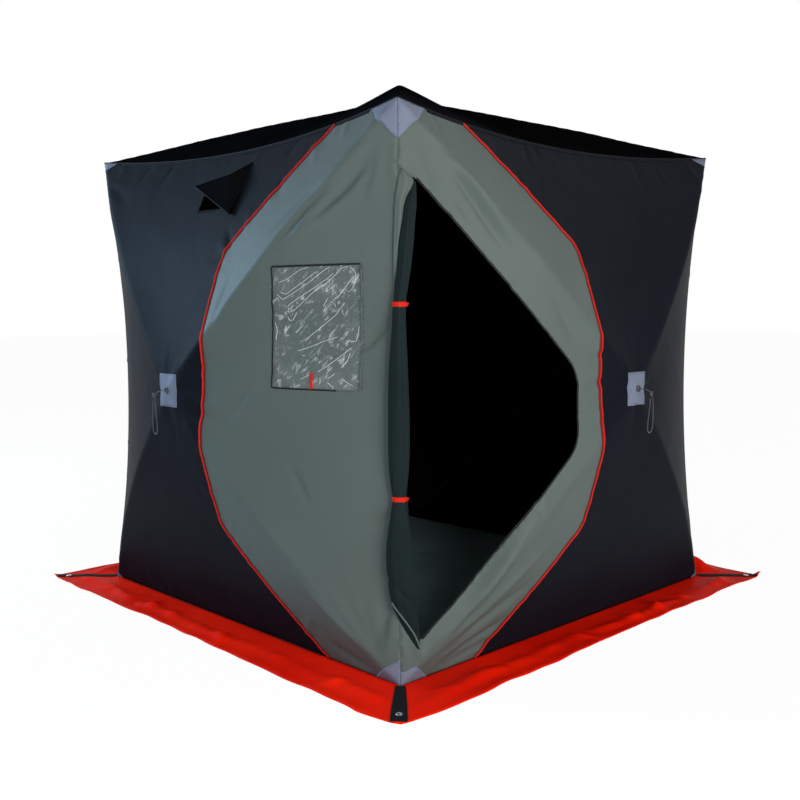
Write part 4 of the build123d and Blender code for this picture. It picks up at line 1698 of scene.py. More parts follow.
@dataclass
class Strip:
    """A strip of cloth or tape that follows a line on a surface."""

    name: str
    surface: Surface
    line: np.ndarray
    near: float
    far: float
    look: Look
    depth: float = 0.0012
    thickness: float = 0.0008
    crown: float = 0.0

    def make(self, *nodes: str) -> bpy.types.Object:
        """Makes the strip between two distances to the left of its line.

        Args:
            nodes: the CAD nodes that it stands for.

        Returns:
            The finished piece.
        """
        left = left_of(self.line)
        shares = np.linspace(0, 1, 6)
        columns = self.near + (self.far - self.near) * shares
        places = self.line[:, None, :] + left[:, None, :] * columns[None, :, None]
        count = len(self.line)
        rows = self.surface.place(places.reshape(-1, 2), self.depth).reshape(count, 6, 3)
        rows = rows + self.surface.outward() * (self.crown * np.sin(pi * shares))[None, :, None]
        runs = np.concatenate([[0], np.cumsum(np.linalg.norm(np.diff(self.line, axis=0), axis=1))])
        flat = np.stack(np.broadcast_arrays(columns[None, :], runs[:, None]), -1)
        piece = rows_piece(self.name, rows, self.look, flat, self.surface.outward())
        thicken(piece, self.thickness)
        return settle(piece, self.look, *nodes)


@dataclass
class Piping:
    """Red piping between the grey and the black cloth of the two front walls."""

    bead_radius: float = 0.0030
    flange_width: float = 0.0095
    stitch_from_bead: float = 0.0055

    def build(self, walls: "Walls") -> None:
        """Makes each wall's bead, its flat flange and the stitches on it.

        Args:
            walls: the shelter's walls.
        """
        for name, side in (("door_wall", walls.door), ("window_wall", walls.window)):
            line = walls.piping(0.008)
            line = line[inside(side.outline(), line)]
            bead = side.place(line, self.bead_radius * 0.8)
            trees.tube_along(f"{name}_piping_bead", [bead], Look.RED_TRIM, self.bead_radius, 0.008,
                             [f"{name}_piping"])
            # The flat flange is real; its darker red is painted shade beside the bead
            Strip(f"{name}_piping_flange", side, line, 0.001, self.flange_width, Look.RED_FLANGE_PAINTED_SHADE).make()
            beside = side.place(line + left_of(line) * self.stitch_from_bead, 0.0016)
            trees.stitches_along(f"{name}_piping_stitches", [beside], Look.THREAD, side.out)


@dataclass
class Doorway:
    """The doorway's zip, the door cloth rolled up beside it, and the two ties round the roll."""

    wall: Side
    tape_width: float = 0.0045
    tooth_pitch: float = 0.0036
    tooth_size: Colour = (0.0021, 0.0050, 0.0018)
    cloth_thickness: float = 0.0012
    gap: float = 0.001
    tie_heights: tuple[float, float] = (1.190, 0.585)
    tie_width: float = 0.016
    tie_clearance: float = 0.0022
    tie_thickness: float = 0.0016
    knot_size: float = 0.0042
    knot_radius: float = 0.0022
    hem_top: float = 0.335
    hem_fall: float = 0.090
    hem_half: float = 0.043
    edge_top: float = 0.262
    edge_fall: float = 0.150
    edge_radius: float = 0.0032
    # Height, place to the right of the corner, half across and half deep
    sections: tuple[tuple[float, float, float, float], ...] = (
        (1.560, 0.051, 0.003, 0.002),
        (1.530, 0.045, 0.010, 0.004),
        (1.500, 0.039, 0.017, 0.007),
        (1.440, 0.031, 0.020, 0.009),
        (1.385, 0.025, 0.022, 0.011),
        (1.310, 0.018, 0.021, 0.012),
        (1.250, 0.010, 0.020, 0.013),
        (1.190, 0.002, 0.019, 0.013),
        (1.130, 0.001, 0.021, 0.014),
        (0.980, -0.001, 0.029, 0.016),
        (0.800, 0.000, 0.033, 0.017),
        (0.680, -0.001, 0.031, 0.016),
        (0.620, -0.001, 0.025, 0.014),
        (0.585, -0.001, 0.020, 0.013),
        (0.545, -0.001, 0.026, 0.015),
        (0.430, 0.000, 0.042, 0.018),
        (0.330, 0.005, 0.043, 0.016),
        (0.255, 0.014, 0.037, 0.013),
        (0.200, 0.028, 0.027, 0.009),
        (0.150, 0.045, 0.014, 0.005),
        (0.105, 0.060, 0.004, 0.002),
    )
    # Height, left edge and right edge of the pale cloth that is turned out beside the roll
    turned_out: tuple[Colour, ...] = (
        (1.597, 0.008, 0.012),
        (1.560, -0.001, 0.047),
        (1.515, -0.009, 0.026),
        (1.447, -0.014, 0.015),
        (1.377, -0.017, 0.002),
        (1.294, -0.018, -0.004),
        (1.200, -0.016, -0.012),
    )

    def rest(self, height: float, right: np.ndarray | float) -> np.ndarray:
        """How far the wall stands out beside the corner's seam, along the diagonal.

        Args:
            height: the height.
            right: places to the right of the seam, square to the diagonal.

        Returns:
            The wall's distance from the seam along the diagonal, mostly below zero.
        """
        corner = FORM.front_corner(height)
        seam = self.wall.flat(corner)[0]
        places = np.column_stack([seam - np.linspace(0, 0.14, 24), np.full(24, height)])
        off = self.wall.lift(places)[0] - corner
        return np.interp(np.abs(right), off @ RIGHT, off @ AHEAD)

    def turned_cloth(self) -> None:
        """Makes the pale cloth beside the top of the roll."""
        table = np.array(self.turned_out)[::-1]
        heights = np.linspace(table[0, 0], table[-1, 0], 90)
        shares = np.linspace(0, 1, 12)
        rows, flat = [], []
        for height in heights:
            left, right = (smooth_between(height, table[:, 0], table[:, k]) for k in (1, 2))
            across = left + (right - left) * shares
            belly = 0.006 * np.sin(pi * shares) * min(1, (right - left) / 0.02)
            stand = self.rest(height, across) + 0.004 + belly + 0.0015 * np.sin(shares * 9 + height * 14)
            rows.append(FORM.front_corner(height) + RIGHT * across[:, None] + AHEAD * stand[:, None])
            flat.append(np.column_stack([across, np.full(12, height)]))
        piece = rows_piece("door_cloth_turned_out", np.array(rows), Look.GREY_CLOTH, np.array(flat), AHEAD)
        thicken(piece, self.cloth_thickness)
        settle(piece, Look.GREY_CLOTH)
        declare_sheet(piece)

    def ring(self, height: float, grow: float = 0.0, count: int = 56) -> np.ndarray:
        """One level ring round the roll.

        Args:
            height: its height.
            grow: how far outside the cloth it runs.
            count: number of points.

        Returns:
            The ring's points.
        """
        table = np.array(self.sections)[::-1]
        right, wide, deep = (smooth_between(height, table[:, 0], table[:, k]) for k in (1, 2, 3))
        corner = FORM.front_corner(height)
        turn = np.linspace(0, 2 * pi, count, endpoint=False)
        near_tie = min(abs(height - tie) for tie in self.tie_heights)
        loose = float(smooth_step(np.array(near_tie / 0.12)))
        folds = 1 + (0.05 + 0.03 * loose) * np.cos(5 * turn + 1.3 + height * 2) * (1 - 0.3 * loose)
        folds += 0.035 * np.cos(9 * turn + 0.4 - height * 3)
        x, y = (wide * folds + grow) * np.cos(turn), (deep * folds + grow) * np.sin(turn)
        middle = corner + AHEAD * (deep + self.gap + float(self.rest(height, right))) + RIGHT * right
        return middle + RIGHT * x[:, None] + AHEAD * y[:, None]

    def ring_flat(self, rows: np.ndarray, levels: np.ndarray) -> np.ndarray:
        """Flat places of rings of points: how far round each point is, and its ring's level."""
        turns = np.cumsum(np.linalg.norm(np.diff(rows, axis=1, prepend=rows[:, -1:]), axis=2), 1)
        return np.stack([turns, np.broadcast_to(levels[:, None], turns.shape)], -1)

    def roll(self) -> None:
        """Makes the rolled door cloth with its sloping hem."""
        heights = np.linspace(self.sections[-1][0], self.sections[0][0], 170)
        rows = np.array([self.ring(h) for h in heights])
        across = (rows - rows.mean(1)[:, None]) @ RIGHT
        hem = self.hem_top - self.hem_fall * (across + self.hem_half) / (2 * self.hem_half)
        drop = hem - heights[:, None]
        crease = bell(drop, 0.009) * -0.004 + bell(drop - 0.085, 0.011) * 0.003
        way = rows - rows.mean(1)[:, None]
        way /= np.maximum(np.linalg.norm(way, axis=2), 1e-6)[:, :, None]
        rows = rows + way * crease[:, :, None]
        flat = self.ring_flat(rows, heights)
        piece = rows_piece("door_cloth_roll", rows, Look.FLAP_CLOTH, flat, ring=True)
        face_out(piece)
        thicken(piece, self.cloth_thickness)
        settle(piece, Look.FLAP_CLOTH, "door_flap")

    def roll_edge(self) -> None:
        """Makes the pale edge that winds across the lower end of the roll."""
        edge = []
        for share in np.linspace(0, 1, 30):
            ring = self.ring(self.edge_top - self.edge_fall * share, 0.0012)
            side = (ring - ring.mean(0)) @ RIGHT
            facing = (ring - ring.mean(0)) @ AHEAD > 0
            wanted = side.min() * (1 - share) + side.max() * share * 0.7
            edge.append(ring[np.argmin(np.abs(side - wanted) + np.where(facing, 0, 1))])
        line = eased(np.array(edge), 4)
        trees.tube_along("door_cloth_edge", [line], Look.GREY_SEAM, self.edge_radius, 0.006)

    def ties(self) -> None:
        """Makes the two ties and their knots."""
        for name, height in zip(("upper", "lower"), self.tie_heights):
            levels = np.linspace(-0.5, 0.5, 7) * self.tie_width
            rows = []
            for level in levels:
                clear = self.tie_clearance + 0.0012 * cos(pi * level / self.tie_width)
                rows.append(self.ring(height + level * 0.35, clear) + UP * level * 0.65)
            rows = np.array(rows)
            flat = self.ring_flat(rows, levels)
            piece = rows_piece(f"door_tie_{name}", rows, Look.ORANGE_TIE, flat, ring=True)
            face_out(piece)
            thicken(piece, self.tie_thickness)
            settle(piece, Look.ORANGE_TIE, "door_ties")
            end = rows[3][np.argmax(rows[3] @ RIGHT)]
            knot = overhand(end, AHEAD, self.knot_size)
            trees.tube_along(f"door_tie_{name}_knot", [knot], Look.ORANGE_TIE, self.knot_radius, 0.002)

    def zip(self, walls: "Walls") -> None:
        """Makes the zip's tape and teeth along the doorway's sloping and far sides.

        Args:
            walls: the shelter's walls.
        """
        loop = walls.doorway(0.0, 0.008)
        line = loop[loop[:, 0] < walls.door_upright - 0.002]
        Strip("door_zip_tape", walls.door, line, -self.tape_width, 0.0005, Look.BINDING).make("door_zip")
        teeth = walls.door.place(line, 0.0022)
        trees.stitches_along("door_zip_teeth", [teeth], Look.HUB, walls.door.out, self.tooth_pitch,
                             self.tooth_size)
        edge = loop[loop[:, 0] >= walls.door_upright - 0.002]
        edge = edge[np.argsort(edge[:, 1])]
        Strip("doorway_edge_binding", walls.door, edge, -0.002, 0.002, Look.BINDING).make()

    def build(self, walls: "Walls") -> None:
        """Makes the roll, its edge, its ties and the zip."""
        self.turned_cloth()
        self.roll()
        self.roll_edge()
        self.ties()
        self.zip(walls)


def smooth_between(at: float, heights: np.ndarray, values: np.ndarray) -> float:
    """A value of a smooth curve through others.

    Args:
        at: the height of the wanted value.
        heights: rising heights of the known values.
        values: the known values.

    Returns:
        The value, never under both of its neighbours.
    """
    slopes = np.gradient(values, heights)
    i = int(np.clip(np.searchsorted(heights, at) - 1, 0, len(heights) - 2))
    run = heights[i + 1] - heights[i]
    t = float(np.clip((at - heights[i]) / run, 0, 1))
    a, b = values[i], values[i + 1]
    steady = (a * (2 * t**3 - 3 * t**2 + 1) + slopes[i] * run * (t**3 - 2 * t**2 + t)
              + b * (3 * t**2 - 2 * t**3) + slopes[i + 1] * run * (t**3 - t**2))
    return float(max(steady, min(a, b)))


def face_out(piece: bpy.types.Object) -> None:
    """Turns a tube-like piece's faces away from its middle line.

    Args:
        piece: the piece.
    """
    mesh = piece.data
    points = np.zeros(len(mesh.vertices) * 3)
    mesh.vertices.foreach_get("co", points)
    points = points.reshape(-1, 3)
    score = 0.0
    for face in mesh.polygons:
        middle = np.array(face.center)
        near = points[np.abs(points[:, 2] - middle[2]) < 0.01].mean(0)
        score += float(np.dot(np.array(face.normal), middle - near)) * face.area
    if score < 0:
        mesh.flip_normals()


@dataclass
class Window:
    """The clear window, the cloth blind behind it, its binding and its pull tab."""

    binding_width: float = 0.005
    bound_share: float = 0.75
    blind_margin: float = 0.020
    blind_depth: float = -0.0045
    blind_thickness: float = 0.001
    film_thickness: float = 0.0005
    tab_size: Place = (0.009, 0.052)
    tab_share: float = 0.485
    crinkle: float = 0.0013
    glint_line_radius: float = 0.0007
    film_size: Place = (0.280, 0.386)

    def layers(self, walls: "Walls") -> Side:
        """Makes the blind and the clear film over it.

        Args:
            walls: the shelter's walls.

        Returns:
            The film's crinkled surface.
        """
        blind = walls.window_loop(self.blind_margin, 0.012)
        behind = Cut("window_blind_cloth", walls.window, (Look.GREY_CLOTH,), [blind], spacing=0.012,
                     thickness=self.blind_thickness, depth=self.blind_depth)
        declare_sheet(behind.make("window_blind"))
        wall = walls.window
        creased = Side(tuple(wall.out), tuple(wall.across), tuple(wall.up),
                       Relief(list(wall.relief.folds), self.crinkle, 0.09, 31))
        film = Cut("window_film", creased, (Look.FILM,), [walls.window_loop(0.004, 0.008)], spacing=0.006,
                   thickness=self.film_thickness, depth=0.0003)
        declare_sheet(film.make("window_pane"))
        return creased

    def creases(self, walls: "Walls", film: Side) -> None:
        """Makes the film's painted highlights: thin white lines that stand for lamp reflections on its
        crinkles.

        Args:
            walls: the shelter's walls.
            film: the film's surface.
        """
        lines = []
        for corners in FILM_GLINT_LINES:
            places = [walls.window_place(x / self.film_size[0], y / self.film_size[1]) for x, y in corners]
            lines.append(film.place(eased(along_line(places, 0.003), 3), 0.0006))
        # Painted highlights: pale tubes along the glint lines
        trees.tube_along("window_film_painted_glints", lines, Look.FILM_GLINT_PAINT, self.glint_line_radius, 0.003)

    def trim(self, walls: "Walls") -> None:
        """Makes the binding, the bare seam, their stitches and the tab.

        Args:
            walls: the shelter's walls.
        """
        side = walls.window
        low_left, low_right, top_right, top_left = walls.window_corners
        bound_end = walls.window_place(self.bound_share, 0.0)
        bound = along_line([top_right, top_left, low_left, bound_end], 0.004)
        Strip("window_edge_binding", side, bound, -self.binding_width, 0.0, Look.BINDING, 0.0014, 0.0009,
              0.0008).make("window_binding")
        bare = along_line([bound_end, low_right, top_right], 0.004)
        Strip("window_edge_seam", side, bare, -self.binding_width, 0.0, Look.GREY_SEAM, 0.0010).make()
        seam = walls.window_loop(self.binding_width * 0.5, 0.006)
        trees.stitches_along("window_binding_stitches", [side.place(np.vstack([seam, seam[:1]]), 0.0020)],
                             Look.THREAD, side.out)
        x, low = walls.window_place(self.tab_share, 0.0)
        tab = along_line([(x, low), (x, low + self.tab_size[1])], 0.004)
        half = self.tab_size[0] / 2
        strip = Strip("window_tab", side, tab, -half, half, Look.RED_TRIM, 0.0032, 0.0012, 0.0012)
        strip.make("window_pull_tab")

    def build(self, walls: "Walls") -> None:
        """Makes the window from the inside out."""
        film = self.layers(walls)
        self.creases(walls, film)
        self.trim(walls)


@dataclass
class VentHood:
    """The hood over the vent: cloth facets that stand off the wall, open to the left and below."""

    top_left: Colour = (-0.880, 0.140, 1.645)
    top_right: Colour = (-0.845, -0.161, 1.716)
    low_right: Colour = (-0.955, -0.150, 1.505)
    lip_left: Colour = (-0.950, 0.128, 1.628)
    lip_right: Colour = (-0.959, -0.108, 1.646)
    lip_low: Colour = (-0.990, -0.145, 1.507)
    steps: int = 12
    sag: float = 0.006
    thickness: float = 0.0012
    rim_radius: float = 0.0018

    def facet(self, corners: Sequence[Colour]) -> tuple[list[np.ndarray], list[tuple[int, int, int]]]:
        """Makes one facet, hollowed a little and rippled.

        Args:
            corners: its three corners.

        Returns:
            Its points, and the triangles between them.
        """
        a, b, c = (np.array(p) for p in corners)
        normal = unit(np.cross(b - a, c - a))
        inward = normal if normal[0] > 0 else -normal
        n = self.steps
        points, faces, index = [], [], {}
        for i in range(n + 1):
            for j in range(n + 1 - i):
                u, v = i / n, j / n
                w = 1 - u - v
                dent = 27 * u * v * w
                ripple = 0.25 * sin(9 * u + 4 * v) * dent
                index[i, j] = len(points)
                points.append(a * w + b * u + c * v + inward * self.sag * (dent + ripple))
        for i in range(n):
            for j in range(n - i):
                faces.append((index[i, j], index[i + 1, j], index[i, j + 1]))
                if j < n - i - 1:
                    faces.append((index[i + 1, j], index[i + 1, j + 1], index[i, j + 1]))
        return points, faces

    def build(self) -> None:
        """Joins the facets into one cloth that faces out, and binds its rim."""
        facets = (
            (self.top_left, self.top_right, self.lip_right),
            (self.top_left, self.lip_right, self.lip_left),
            (self.top_right, self.low_right, self.lip_low),
            (self.top_right, self.lip_low, self.lip_right),
            (self.lip_left, self.lip_right, self.lip_low),
        )
        points, faces = [], []
        for corners in facets:
            more, between = self.facet(corners)
            faces += [[len(points) + i for i in face] for face in between]
            points += more
        points = np.array(points)
        _, first, same = np.unique(np.round(points, 5), axis=0, return_index=True, return_inverse=True)
        points = points[first]
        away = []
        for face in same.ravel()[np.array(faces)]:
            a, b, c = points[face]
            away.append(face if np.cross(b - a, c - a)[0] < 0 else face[::-1])
        # The hood takes the darker copy of the black cloth: painted shade
        piece = piece_from("vent_hood_cloth", points, away, [Look.BLACK_CLOTH_PAINTED_SHADE], points[:, 1:])
        thicken(piece, self.thickness)
        settle(piece, Look.BLACK_CLOTH_PAINTED_SHADE, "vent_hood")
        declare_sheet(piece)
        rim = along_line([self.top_left, self.lip_left, self.lip_low, self.low_right], 0.008)
        trees.tube_along("vent_hood_rim", [rim], Look.BINDING, self.rim_radius)


@dataclass
class Patches:
    """Pale reinforcement patches at the hubs and the corners, with their stitches."""

    hub_size: Place = (0.105, 0.116)
    rear_top: Place = (0.118, 0.062)
    front_base: Place = (0.115, 0.092)
    rear_base: Place = (0.048, 0.060)
    front_top: tuple[Place, ...] = ((0.768, 1.788), (0.852, 1.731), (0.872, 1.702), (0.900, 1.664),
                                    (0.990, 1.664), (0.990, 2.0), (0.768, 2.0))
    door_base: tuple[Place, ...] = ((0.780, 0.0), (0.856, 0.061), (0.884, 0.046), (0.990, 0.046),
                                    (0.990, 0.0))
    proud: float = 0.0011
    thickness: float = 0.0009
    hem: float = 0.006
    grommet_radius: float = 0.0095
    grommet_wire: float = 0.0026

    def corner(self, x_side: float, size: Place, top: bool) -> list[Place]:
        """Outline of a triangle in a wall's corner, run on past the wall's edges.

        Args:
            x_side: 1 for the corner on the positive side across, -1 for the other.
            size: how far it runs along the edge, and along the seam.
            top: whether it is a top corner.

        Returns:
            The outline's corners, the free edge first.
        """
        across, up = size
        x = x_side * FORM.half_width
        z = FORM.corner_height if top else 0.0
        rise = -up if top else up
        free = [(x - x_side * across, z), (x, z + rise)]
        beyond = z + (0.5 if top else -0.5)
        return free + [(1.1 * x, z + rise), (1.1 * x, beyond), (x - x_side * across, beyond)]

    def patch(self, name: str, side: Side, outline: list[Place], node: str, sewn: list[Place]) -> None:
        """Makes one patch and its stitches.

        Args:
            name: the patch's name.
            side: what it is sewn to.
            outline: its corners, which may lie past the wall's edge.
            node: the CAD node that it stands for.
            sewn: corners of its line of stitches.
        """
        loop = along_line(outline, 0.008, closed=True)
        edge = side.outline()
        Cut(name, side, (Look.PATCH_CLOTH,), [loop, edge], spacing=0.008, thickness=self.thickness,
            depth=self.proud).make(node)
        line = along_line(sewn, 0.004)
        line = line[inside(edge, line)]
        if len(line) > 3:
            thread = side.place(line, self.proud + 0.0006)
            trees.stitches_along(f"{name}_stitches", [thread], Look.PATCH_THREAD, side.out)

    def build(self, walls: "Walls") -> None:
        """Makes all patches and the hubs' grommets.

        Args:
            walls: the shelter's walls.
        """
        for name, side in walls.sides().items():
            hub = tuple(side.flat(side.hub))
            half = (self.hub_size[0] / 2, self.hub_size[1] / 2)
            sewn = rectangle(hub, (half[0] - self.hem, half[1] - self.hem))
            self.patch(f"{name}_hub_patch", side, rectangle(hub, half), "hub_patches", [*sewn, sewn[0]])
        for name, side in walls.named().items():
            for x_side, end in ((-1, "left"), (1, "right")):
                front = x_side == 1 and name in ("door_wall", "window_wall")
                for top, label in ((True, "top"), (False, "base")):
                    size = self.front_base if front else self.rear_top if top else self.rear_base
                    outline = self.corner(x_side, size, top)
                    if front and top:
                        outline = list(self.front_top)
                    elif front and name == "door_wall":
                        outline = list(self.door_base)
                    a, b = np.array(outline[0]), np.array(outline[3 if front and top else 1])
                    tip = np.array([x_side * FORM.half_width, FORM.corner_height if top else 0.0])
                    inward = unit(tip - (a + b) / 2) * self.hem
                    sewn = [tuple(a + inward), tuple(b + inward)]
                    self.patch(f"{name}_{label}_{end}_patch", side, outline, f"{label}_corner_patches", sewn)
        turns = np.linspace(0, 2 * pi, 33)
        for name, side in walls.named().items():
            across = np.cross(UP, side.out)
            ring = [side.hub + side.out * 0.0015 + (across * cos(t) + UP * sin(t)) * self.grommet_radius
                    for t in turns]
            trees.tube_along(f"{name}_grommet", [np.array(ring)], Look.HUB, self.grommet_wire, 0.002)


@dataclass
class SkirtGround(Ground):
    """Ground under the skirt, on which its cloth lies in long folds and rises at its tips."""

    wall: float
    reach: float
    eyelet: float
    base_ridge: float = 0.0015
    middle_ridge: float = 0.008
    hem_lift: float = 0.003
    eyelet_margin: float = 0.012
    # How far the hem of the two front flaps runs past its straight line, at places along it
    hem_places: tuple[float, ...] = (-1.12, -0.95, -0.80, -0.50, -0.15, 0.35, 0.80, 1.12)
    door_hem: tuple[float, ...] = (0.006, 0.026, 0.026, 0.020, 0.002, 0.0, -0.010, 0.0)
    window_hem: tuple[float, ...] = (0.006, 0.030, 0.028, 0.018, 0.016, 0.004, 0.014, 0.0)
    rear_hem: float = 0.004
    # Two large humps: place, half width along each axis, and height
    humps: tuple[tuple[float, ...], ...] = ((1.02, -0.80, 0.045, 0.10, 0.040),
                                            (-0.82, 1.0, 0.08, 0.06, 0.018))
    # How high the tips stand: at the front, beside the door wall's far end, and elsewhere
    tips: Colour = (0.002, 0.020, 0.008)

    def folds(self, places: np.ndarray, along: np.ndarray, flap: np.ndarray, share: np.ndarray) -> np.ndarray:
        """Height of the folds that run along the flaps and across them.

        Args:
            places: places on the ground.
            along: how far along its flap each place is.
            flap: each place's flap, by number.
            share: how far out each place is, from 0 at the wall to 1 at the hem.

        Returns:
            A height for each place.
        """
        wave = (np.sin(along * 7.1 + flap * 1.7) + np.sin(along * 17.3 + flap * 2.9) * 0.6
                + np.sin(along * 37.0 + flap * 4.1) * 0.35)
        shift = 0.06 * np.sin(along * 4.3 + flap) + 0.04 * np.sin(along * 11 + 2 * flap)
        inner = self.base_ridge * bell(share, 0.14) * (1 + 0.25 * np.sin(along * 9 + flap))
        ridge = self.middle_ridge * bell(share - 0.62 - shift, 0.13) * (1 + 0.5 * wave)
        hem = smooth_step((share - 0.75) / 0.25) * (self.hem_lift + 0.002 * wave)
        cross = self.relief.rise(places) * smooth_step(share / 0.15)
        return np.maximum(inner + ridge + hem + cross, 0.0)

    def place(self, places: np.ndarray, depth: float = 0.0) -> np.ndarray:
        """Points of the skirt's cloth.

        Args:
            places: places on the ground.
            depth: how far above the cloth they lie.

        Returns:
            One point for each place.
        """
        x, y = places.T
        out, corner = np.maximum(np.abs(x), np.abs(y)), np.minimum(np.abs(x), np.abs(y))
        share = np.clip((out - self.wall) / (self.reach - self.wall), 0, 1)
        door_like = np.abs(y) >= np.abs(x)
        along = np.where(door_like, x, y)
        flap = np.where(door_like, np.where(y < 0, 0.0, 2.0), np.where(x < 0, 1.0, 3.0))
        diagonal = smooth_step((corner - self.wall - 0.02) / 0.06)
        past = self.eyelet + self.eyelet_margin
        front, door_end, others = self.tips
        tall = np.where((x < 0) & (y < 0), front, np.where((x > 0) & (y < 0), door_end, others))
        tip = smooth_step((corner - past) / (self.reach - past)) * tall
        near_eyelet = np.hypot(np.abs(x) - self.eyelet, np.abs(y) - self.eyelet)
        quiet = smooth_step((near_eyelet - 0.018) / 0.03)
        hump = sum(height * np.exp(-(((x - at_x) / wide_x) ** 2 + ((y - at_y) / wide_y) ** 2))
                   for at_x, at_y, wide_x, wide_y, height in self.humps)
        height = (self.folds(places, along, flap, share) * (1 - 0.75 * diagonal) + hump) * quiet + tip
        door_hem = np.interp(along, self.hem_places, self.door_hem)
        window_hem = np.interp(along, self.hem_places, self.window_hem)
        fuller = np.where(flap == 0, door_hem, np.where(flap == 1, window_hem, self.rear_hem))
        uneven = 0.0022 * np.sin(along * 13 + flap * 2) + 0.0016 * np.sin(along * 31 + flap)
        moved = np.where(door_like, np.sign(y), np.sign(x)) * (fuller + uneven * (1 - diagonal)) * share**2
        shifted = places.astype(float)
        shifted[:, 1] += np.where(door_like, moved, 0)
        shifted[:, 0] += np.where(door_like, 0, moved)
        return np.column_stack([shifted, self.height + height + depth])


@dataclass
class GroundCloths:
    """The ground skirt with its straps, and the floor sheet."""

    inner: float = 0.9005
    outer: float = 1.100
    eyelet: float = 1.055
    strap_width: float = 0.035
    strap_from: float = 0.904
    strap_to: float = 1.0865
    skirt_height: float = 0.003
    skirt_thickness: float = 0.0014
    hem: float = 0.012
    floor_half: float = 0.8985
    floor_height: float = 0.0028
    seam_height: float = 0.0036
    seam_radius: float = 0.0032

    def skirt(self) -> None:
        """Makes the skirt's four flaps, its hem and its straps."""
        relief = Relief(seed=21)
        rng = np.random.default_rng(21)
        for face in range(4):
            turn = face * pi / 2
            for _ in range(26):
                at = rng.uniform(-0.95, 0.95)
                start = (at, -rng.uniform(0.93, 1.03))
                end = (at + rng.uniform(-0.16, 0.16), -rng.uniform(1.04, 1.11))
                ends = [turned(p, turn) for p in (start, end)]
                relief.folds.append(Fold(*ends, rng.uniform(-0.006, 0.010), rng.uniform(0.009, 0.02)))
        ground = SkirtGround(relief, self.skirt_height, FORM.half_width, self.outer, self.eyelet)
        inner, outer, inset = self.inner, self.outer, self.outer - self.hem
        for face, name in enumerate(("door_skirt", "side_skirt", "back_skirt", "window_skirt")):
            turn = face * pi / 2
            corners = ((-inner, -inner), (-outer, -outer), (outer, -outer), (inner, -inner))
            loop = along_line([turned(p, turn) for p in corners], 0.012, closed=True)
            piece = Cut(f"{name}_cloth", ground, (Look.SKIRT_CLOTH,), [loop], spacing=0.013,
                        thickness=self.skirt_thickness).make(name)
            declare_sheet(piece)
            line = along_line([turned(p, turn) for p in ((-inset, -inset), (inset, -inset))], 0.01)
            hem = ground.place(line, 0.0004)
            trees.stitches_along(f"{name}_hem_stitches", [hem], Look.RED_THREAD, UP, 0.006)
        half = self.strap_width / 2
        for (x, y), name in zip(CORNER_SIGNS, ("front", "door_side", "back", "window_side")):
            line = along_line([(x * at, y * at) for at in (self.strap_from, self.strap_to)], 0.006)
            strip = Strip(f"{name}_strap", ground, line, -half, half, Look.STRAP, 0.0016, 0.0014)
            strip.make("corner_straps")

    def floor(self) -> None:
        """Makes the floor sheet with the creases of its folded storage."""
        relief = Relief(seed=22, swell=0.0016, swell_size=0.5)
        rng = np.random.default_rng(22)
        for at in (-0.6, -0.3, 0.0, 0.3, 0.6):
            for way in (0, 1):
                shift = rng.uniform(-0.02, 0.02)
                ends = [(at + shift, -0.88), (at - shift, 0.88)]
                ends = [p if way else p[::-1] for p in ends]
                relief.folds.append(Fold(ends[0], ends[1], 0.0035, 0.006, open_start=True))
        for _ in range(40):
            at, turn, reach = rng.uniform(-0.85, 0.85, 2), rng.uniform(0, pi), rng.uniform(0.08, 0.3)
            end = at + np.array([cos(turn), sin(turn)]) * reach
            relief.folds.append(Fold(tuple(at), tuple(np.clip(end, -0.88, 0.88)), rng.uniform(0.002, 0.006),
                                     rng.uniform(0.006, 0.014)))
        half = self.floor_half
        loop = along_line(rectangle((0, 0), (half, half)), 0.02, closed=True)
        piece = Cut("floor_cloth", Ground(relief, self.floor_height), (Look.FLOOR_CLOTH,), [loop],
                    spacing=0.014).make("floor_sheet")
        declare_sheet(piece)
        inset = half - 0.0002
        seam = [(x, y, self.seam_height) for x, y in rectangle((0, 0), (inset, inset))]
        trees.tube_along("base_seam", [np.array([*seam, seam[0]])], Look.BINDING, self.seam_radius, 0.02)

    def build(self) -> None:
        """Makes the skirt and the floor."""
        self.skirt()
        self.floor()


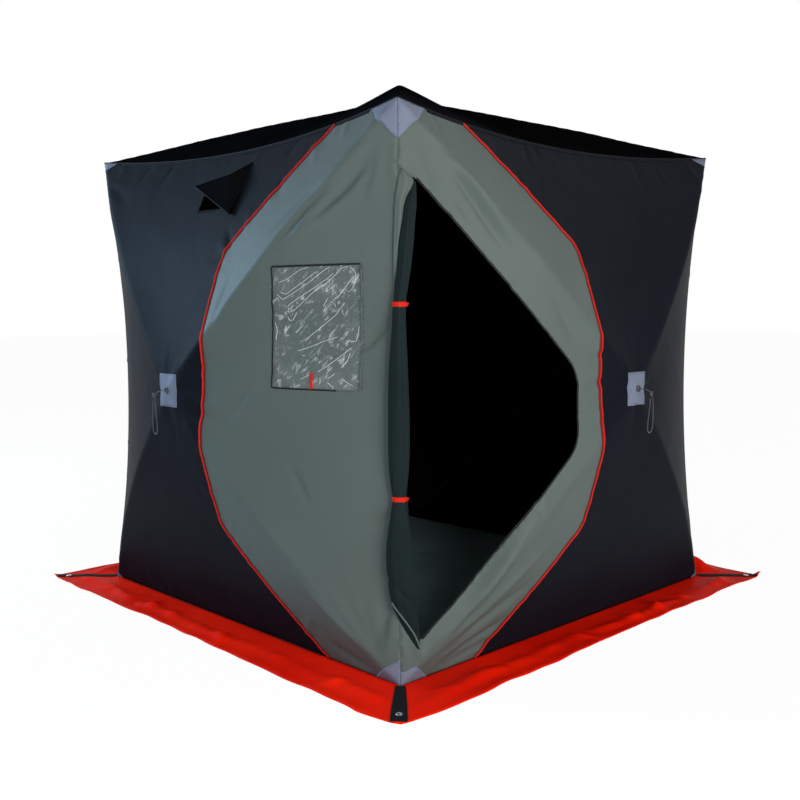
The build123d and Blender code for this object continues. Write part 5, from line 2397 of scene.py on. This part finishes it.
@dataclass
class PoleFrame:
    """The frame of rods and hubs, which keeps its CAD shapes, and the sleeves on the rods' ends."""

    sleeve_length: float = 0.052
    sleeve_radius: float = 0.0084
    sleeve_end: float = 0.036
    sleeve_thickness: float = 0.001

    def dress(self, node: str, look: Look) -> None:
        """Gives a CAD node its finish.

        Args:
            node: the node's name.
            look: its look.
        """
        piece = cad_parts[node]
        piece.data.materials.clear()
        piece.data.materials.append(wardrobe.material(look))
        log.info("dressed %s", node)

    def sleeves(self, sides: dict[str, Side]) -> None:
        """Makes a sewn webbing sleeve on each rod's end.

        Args:
            sides: the sides by their CAD names.
        """
        for top, label in ((True, "top"), (False, "base")):
            for name, side in sides.items():
                for index, corner in enumerate(side.corners):
                    if (corner[2] > 0.1) != top:
                        continue
                    share = np.linspace(0.90, 1.0, 60)
                    line = np.array([FORM.moved(side.pole(index, t), -FORM.pole_depth) for t in share])
                    away = np.linalg.norm(line - FORM.moved(corner, -FORM.pole_depth), axis=1)
                    near, far = self.sleeve_end, self.sleeve_end + self.sleeve_length
                    keep = (away > near) & (away < far)
                    self.sleeve(f"{name}_{label}_sleeve_{index}", line[keep], side, f"{label}_pole_pockets")

    def sleeve(self, name: str, line: np.ndarray, side: Side, node: str) -> None:
        """Makes one sleeve round a rod, closed at its outer end.

        Args:
            name: the sleeve's name.
            line: points on the rod's centre line.
            side: the side that the rod holds out.
            node: the CAD node that the sleeve stands for.
        """
        run = line[-1] - line[0]
        along = unit(run)
        beside = unit(np.cross(along, side.out))
        out = np.cross(beside, along)
        turns = np.linspace(0, 2 * pi, 20, endpoint=False)
        shares = np.linspace(0, 1, 15)
        rows = []
        for share in shares:
            close = (1 - smooth_step(np.array((share - 0.86) / 0.14))) ** 0.5
            radius = self.sleeve_radius * (1 + 0.05 * sin(share * 9)) * max(float(close), 0.02)
            wide = 1 + 0.18 * share
            middle = line[0] + run * share
            rows.append([middle + (beside * cos(t) * wide + out * sin(t)) * radius for t in turns])
        runs = shares * float(np.linalg.norm(run))
        flat = np.stack(np.broadcast_arrays((turns * self.sleeve_radius)[None, :], runs[:, None]), -1)
        piece = rows_piece(name, np.array(rows), Look.STRAP, flat, ring=True)
        facing = 0.0
        for face in piece.data.polygons:
            off = np.array(face.center) - (line[0] + line[-1]) / 2
            facing += float(np.dot(np.array(face.normal), off - along * np.dot(off, along)))
        if facing < 0:
            piece.data.flip_normals()
        thicken(piece, self.sleeve_thickness)
        settle(piece, Look.STRAP, node)

    def build(self, walls: "Walls") -> None:
        """Dresses the CAD nodes that stay and makes the sleeves.

        Args:
            walls: the shelter's walls.
        """
        sides = walls.sides()
        for name in sides:
            self.dress(f"{name}_poles", Look.ROD)
            self.dress(f"{name}_hub", Look.HUB)
        self.dress("anchor_eyelets", Look.METAL)
        self.sleeves(sides)


def main() -> None:
    """Builds the shelter piece by piece."""
    logging.basicConfig(level=logging.INFO, format="%(message)s")
    walls = Walls()
    Studio().build()
    PullCords().build(walls.named())
    walls.build()
    Piping().build(walls)
    Doorway(walls.door).build(walls)
    Window().build(walls)
    VentHood().build()
    Patches().build(walls)
    GroundCloths().build()
    PoleFrame().build(walls)


if __name__ == "__main__":
    main()
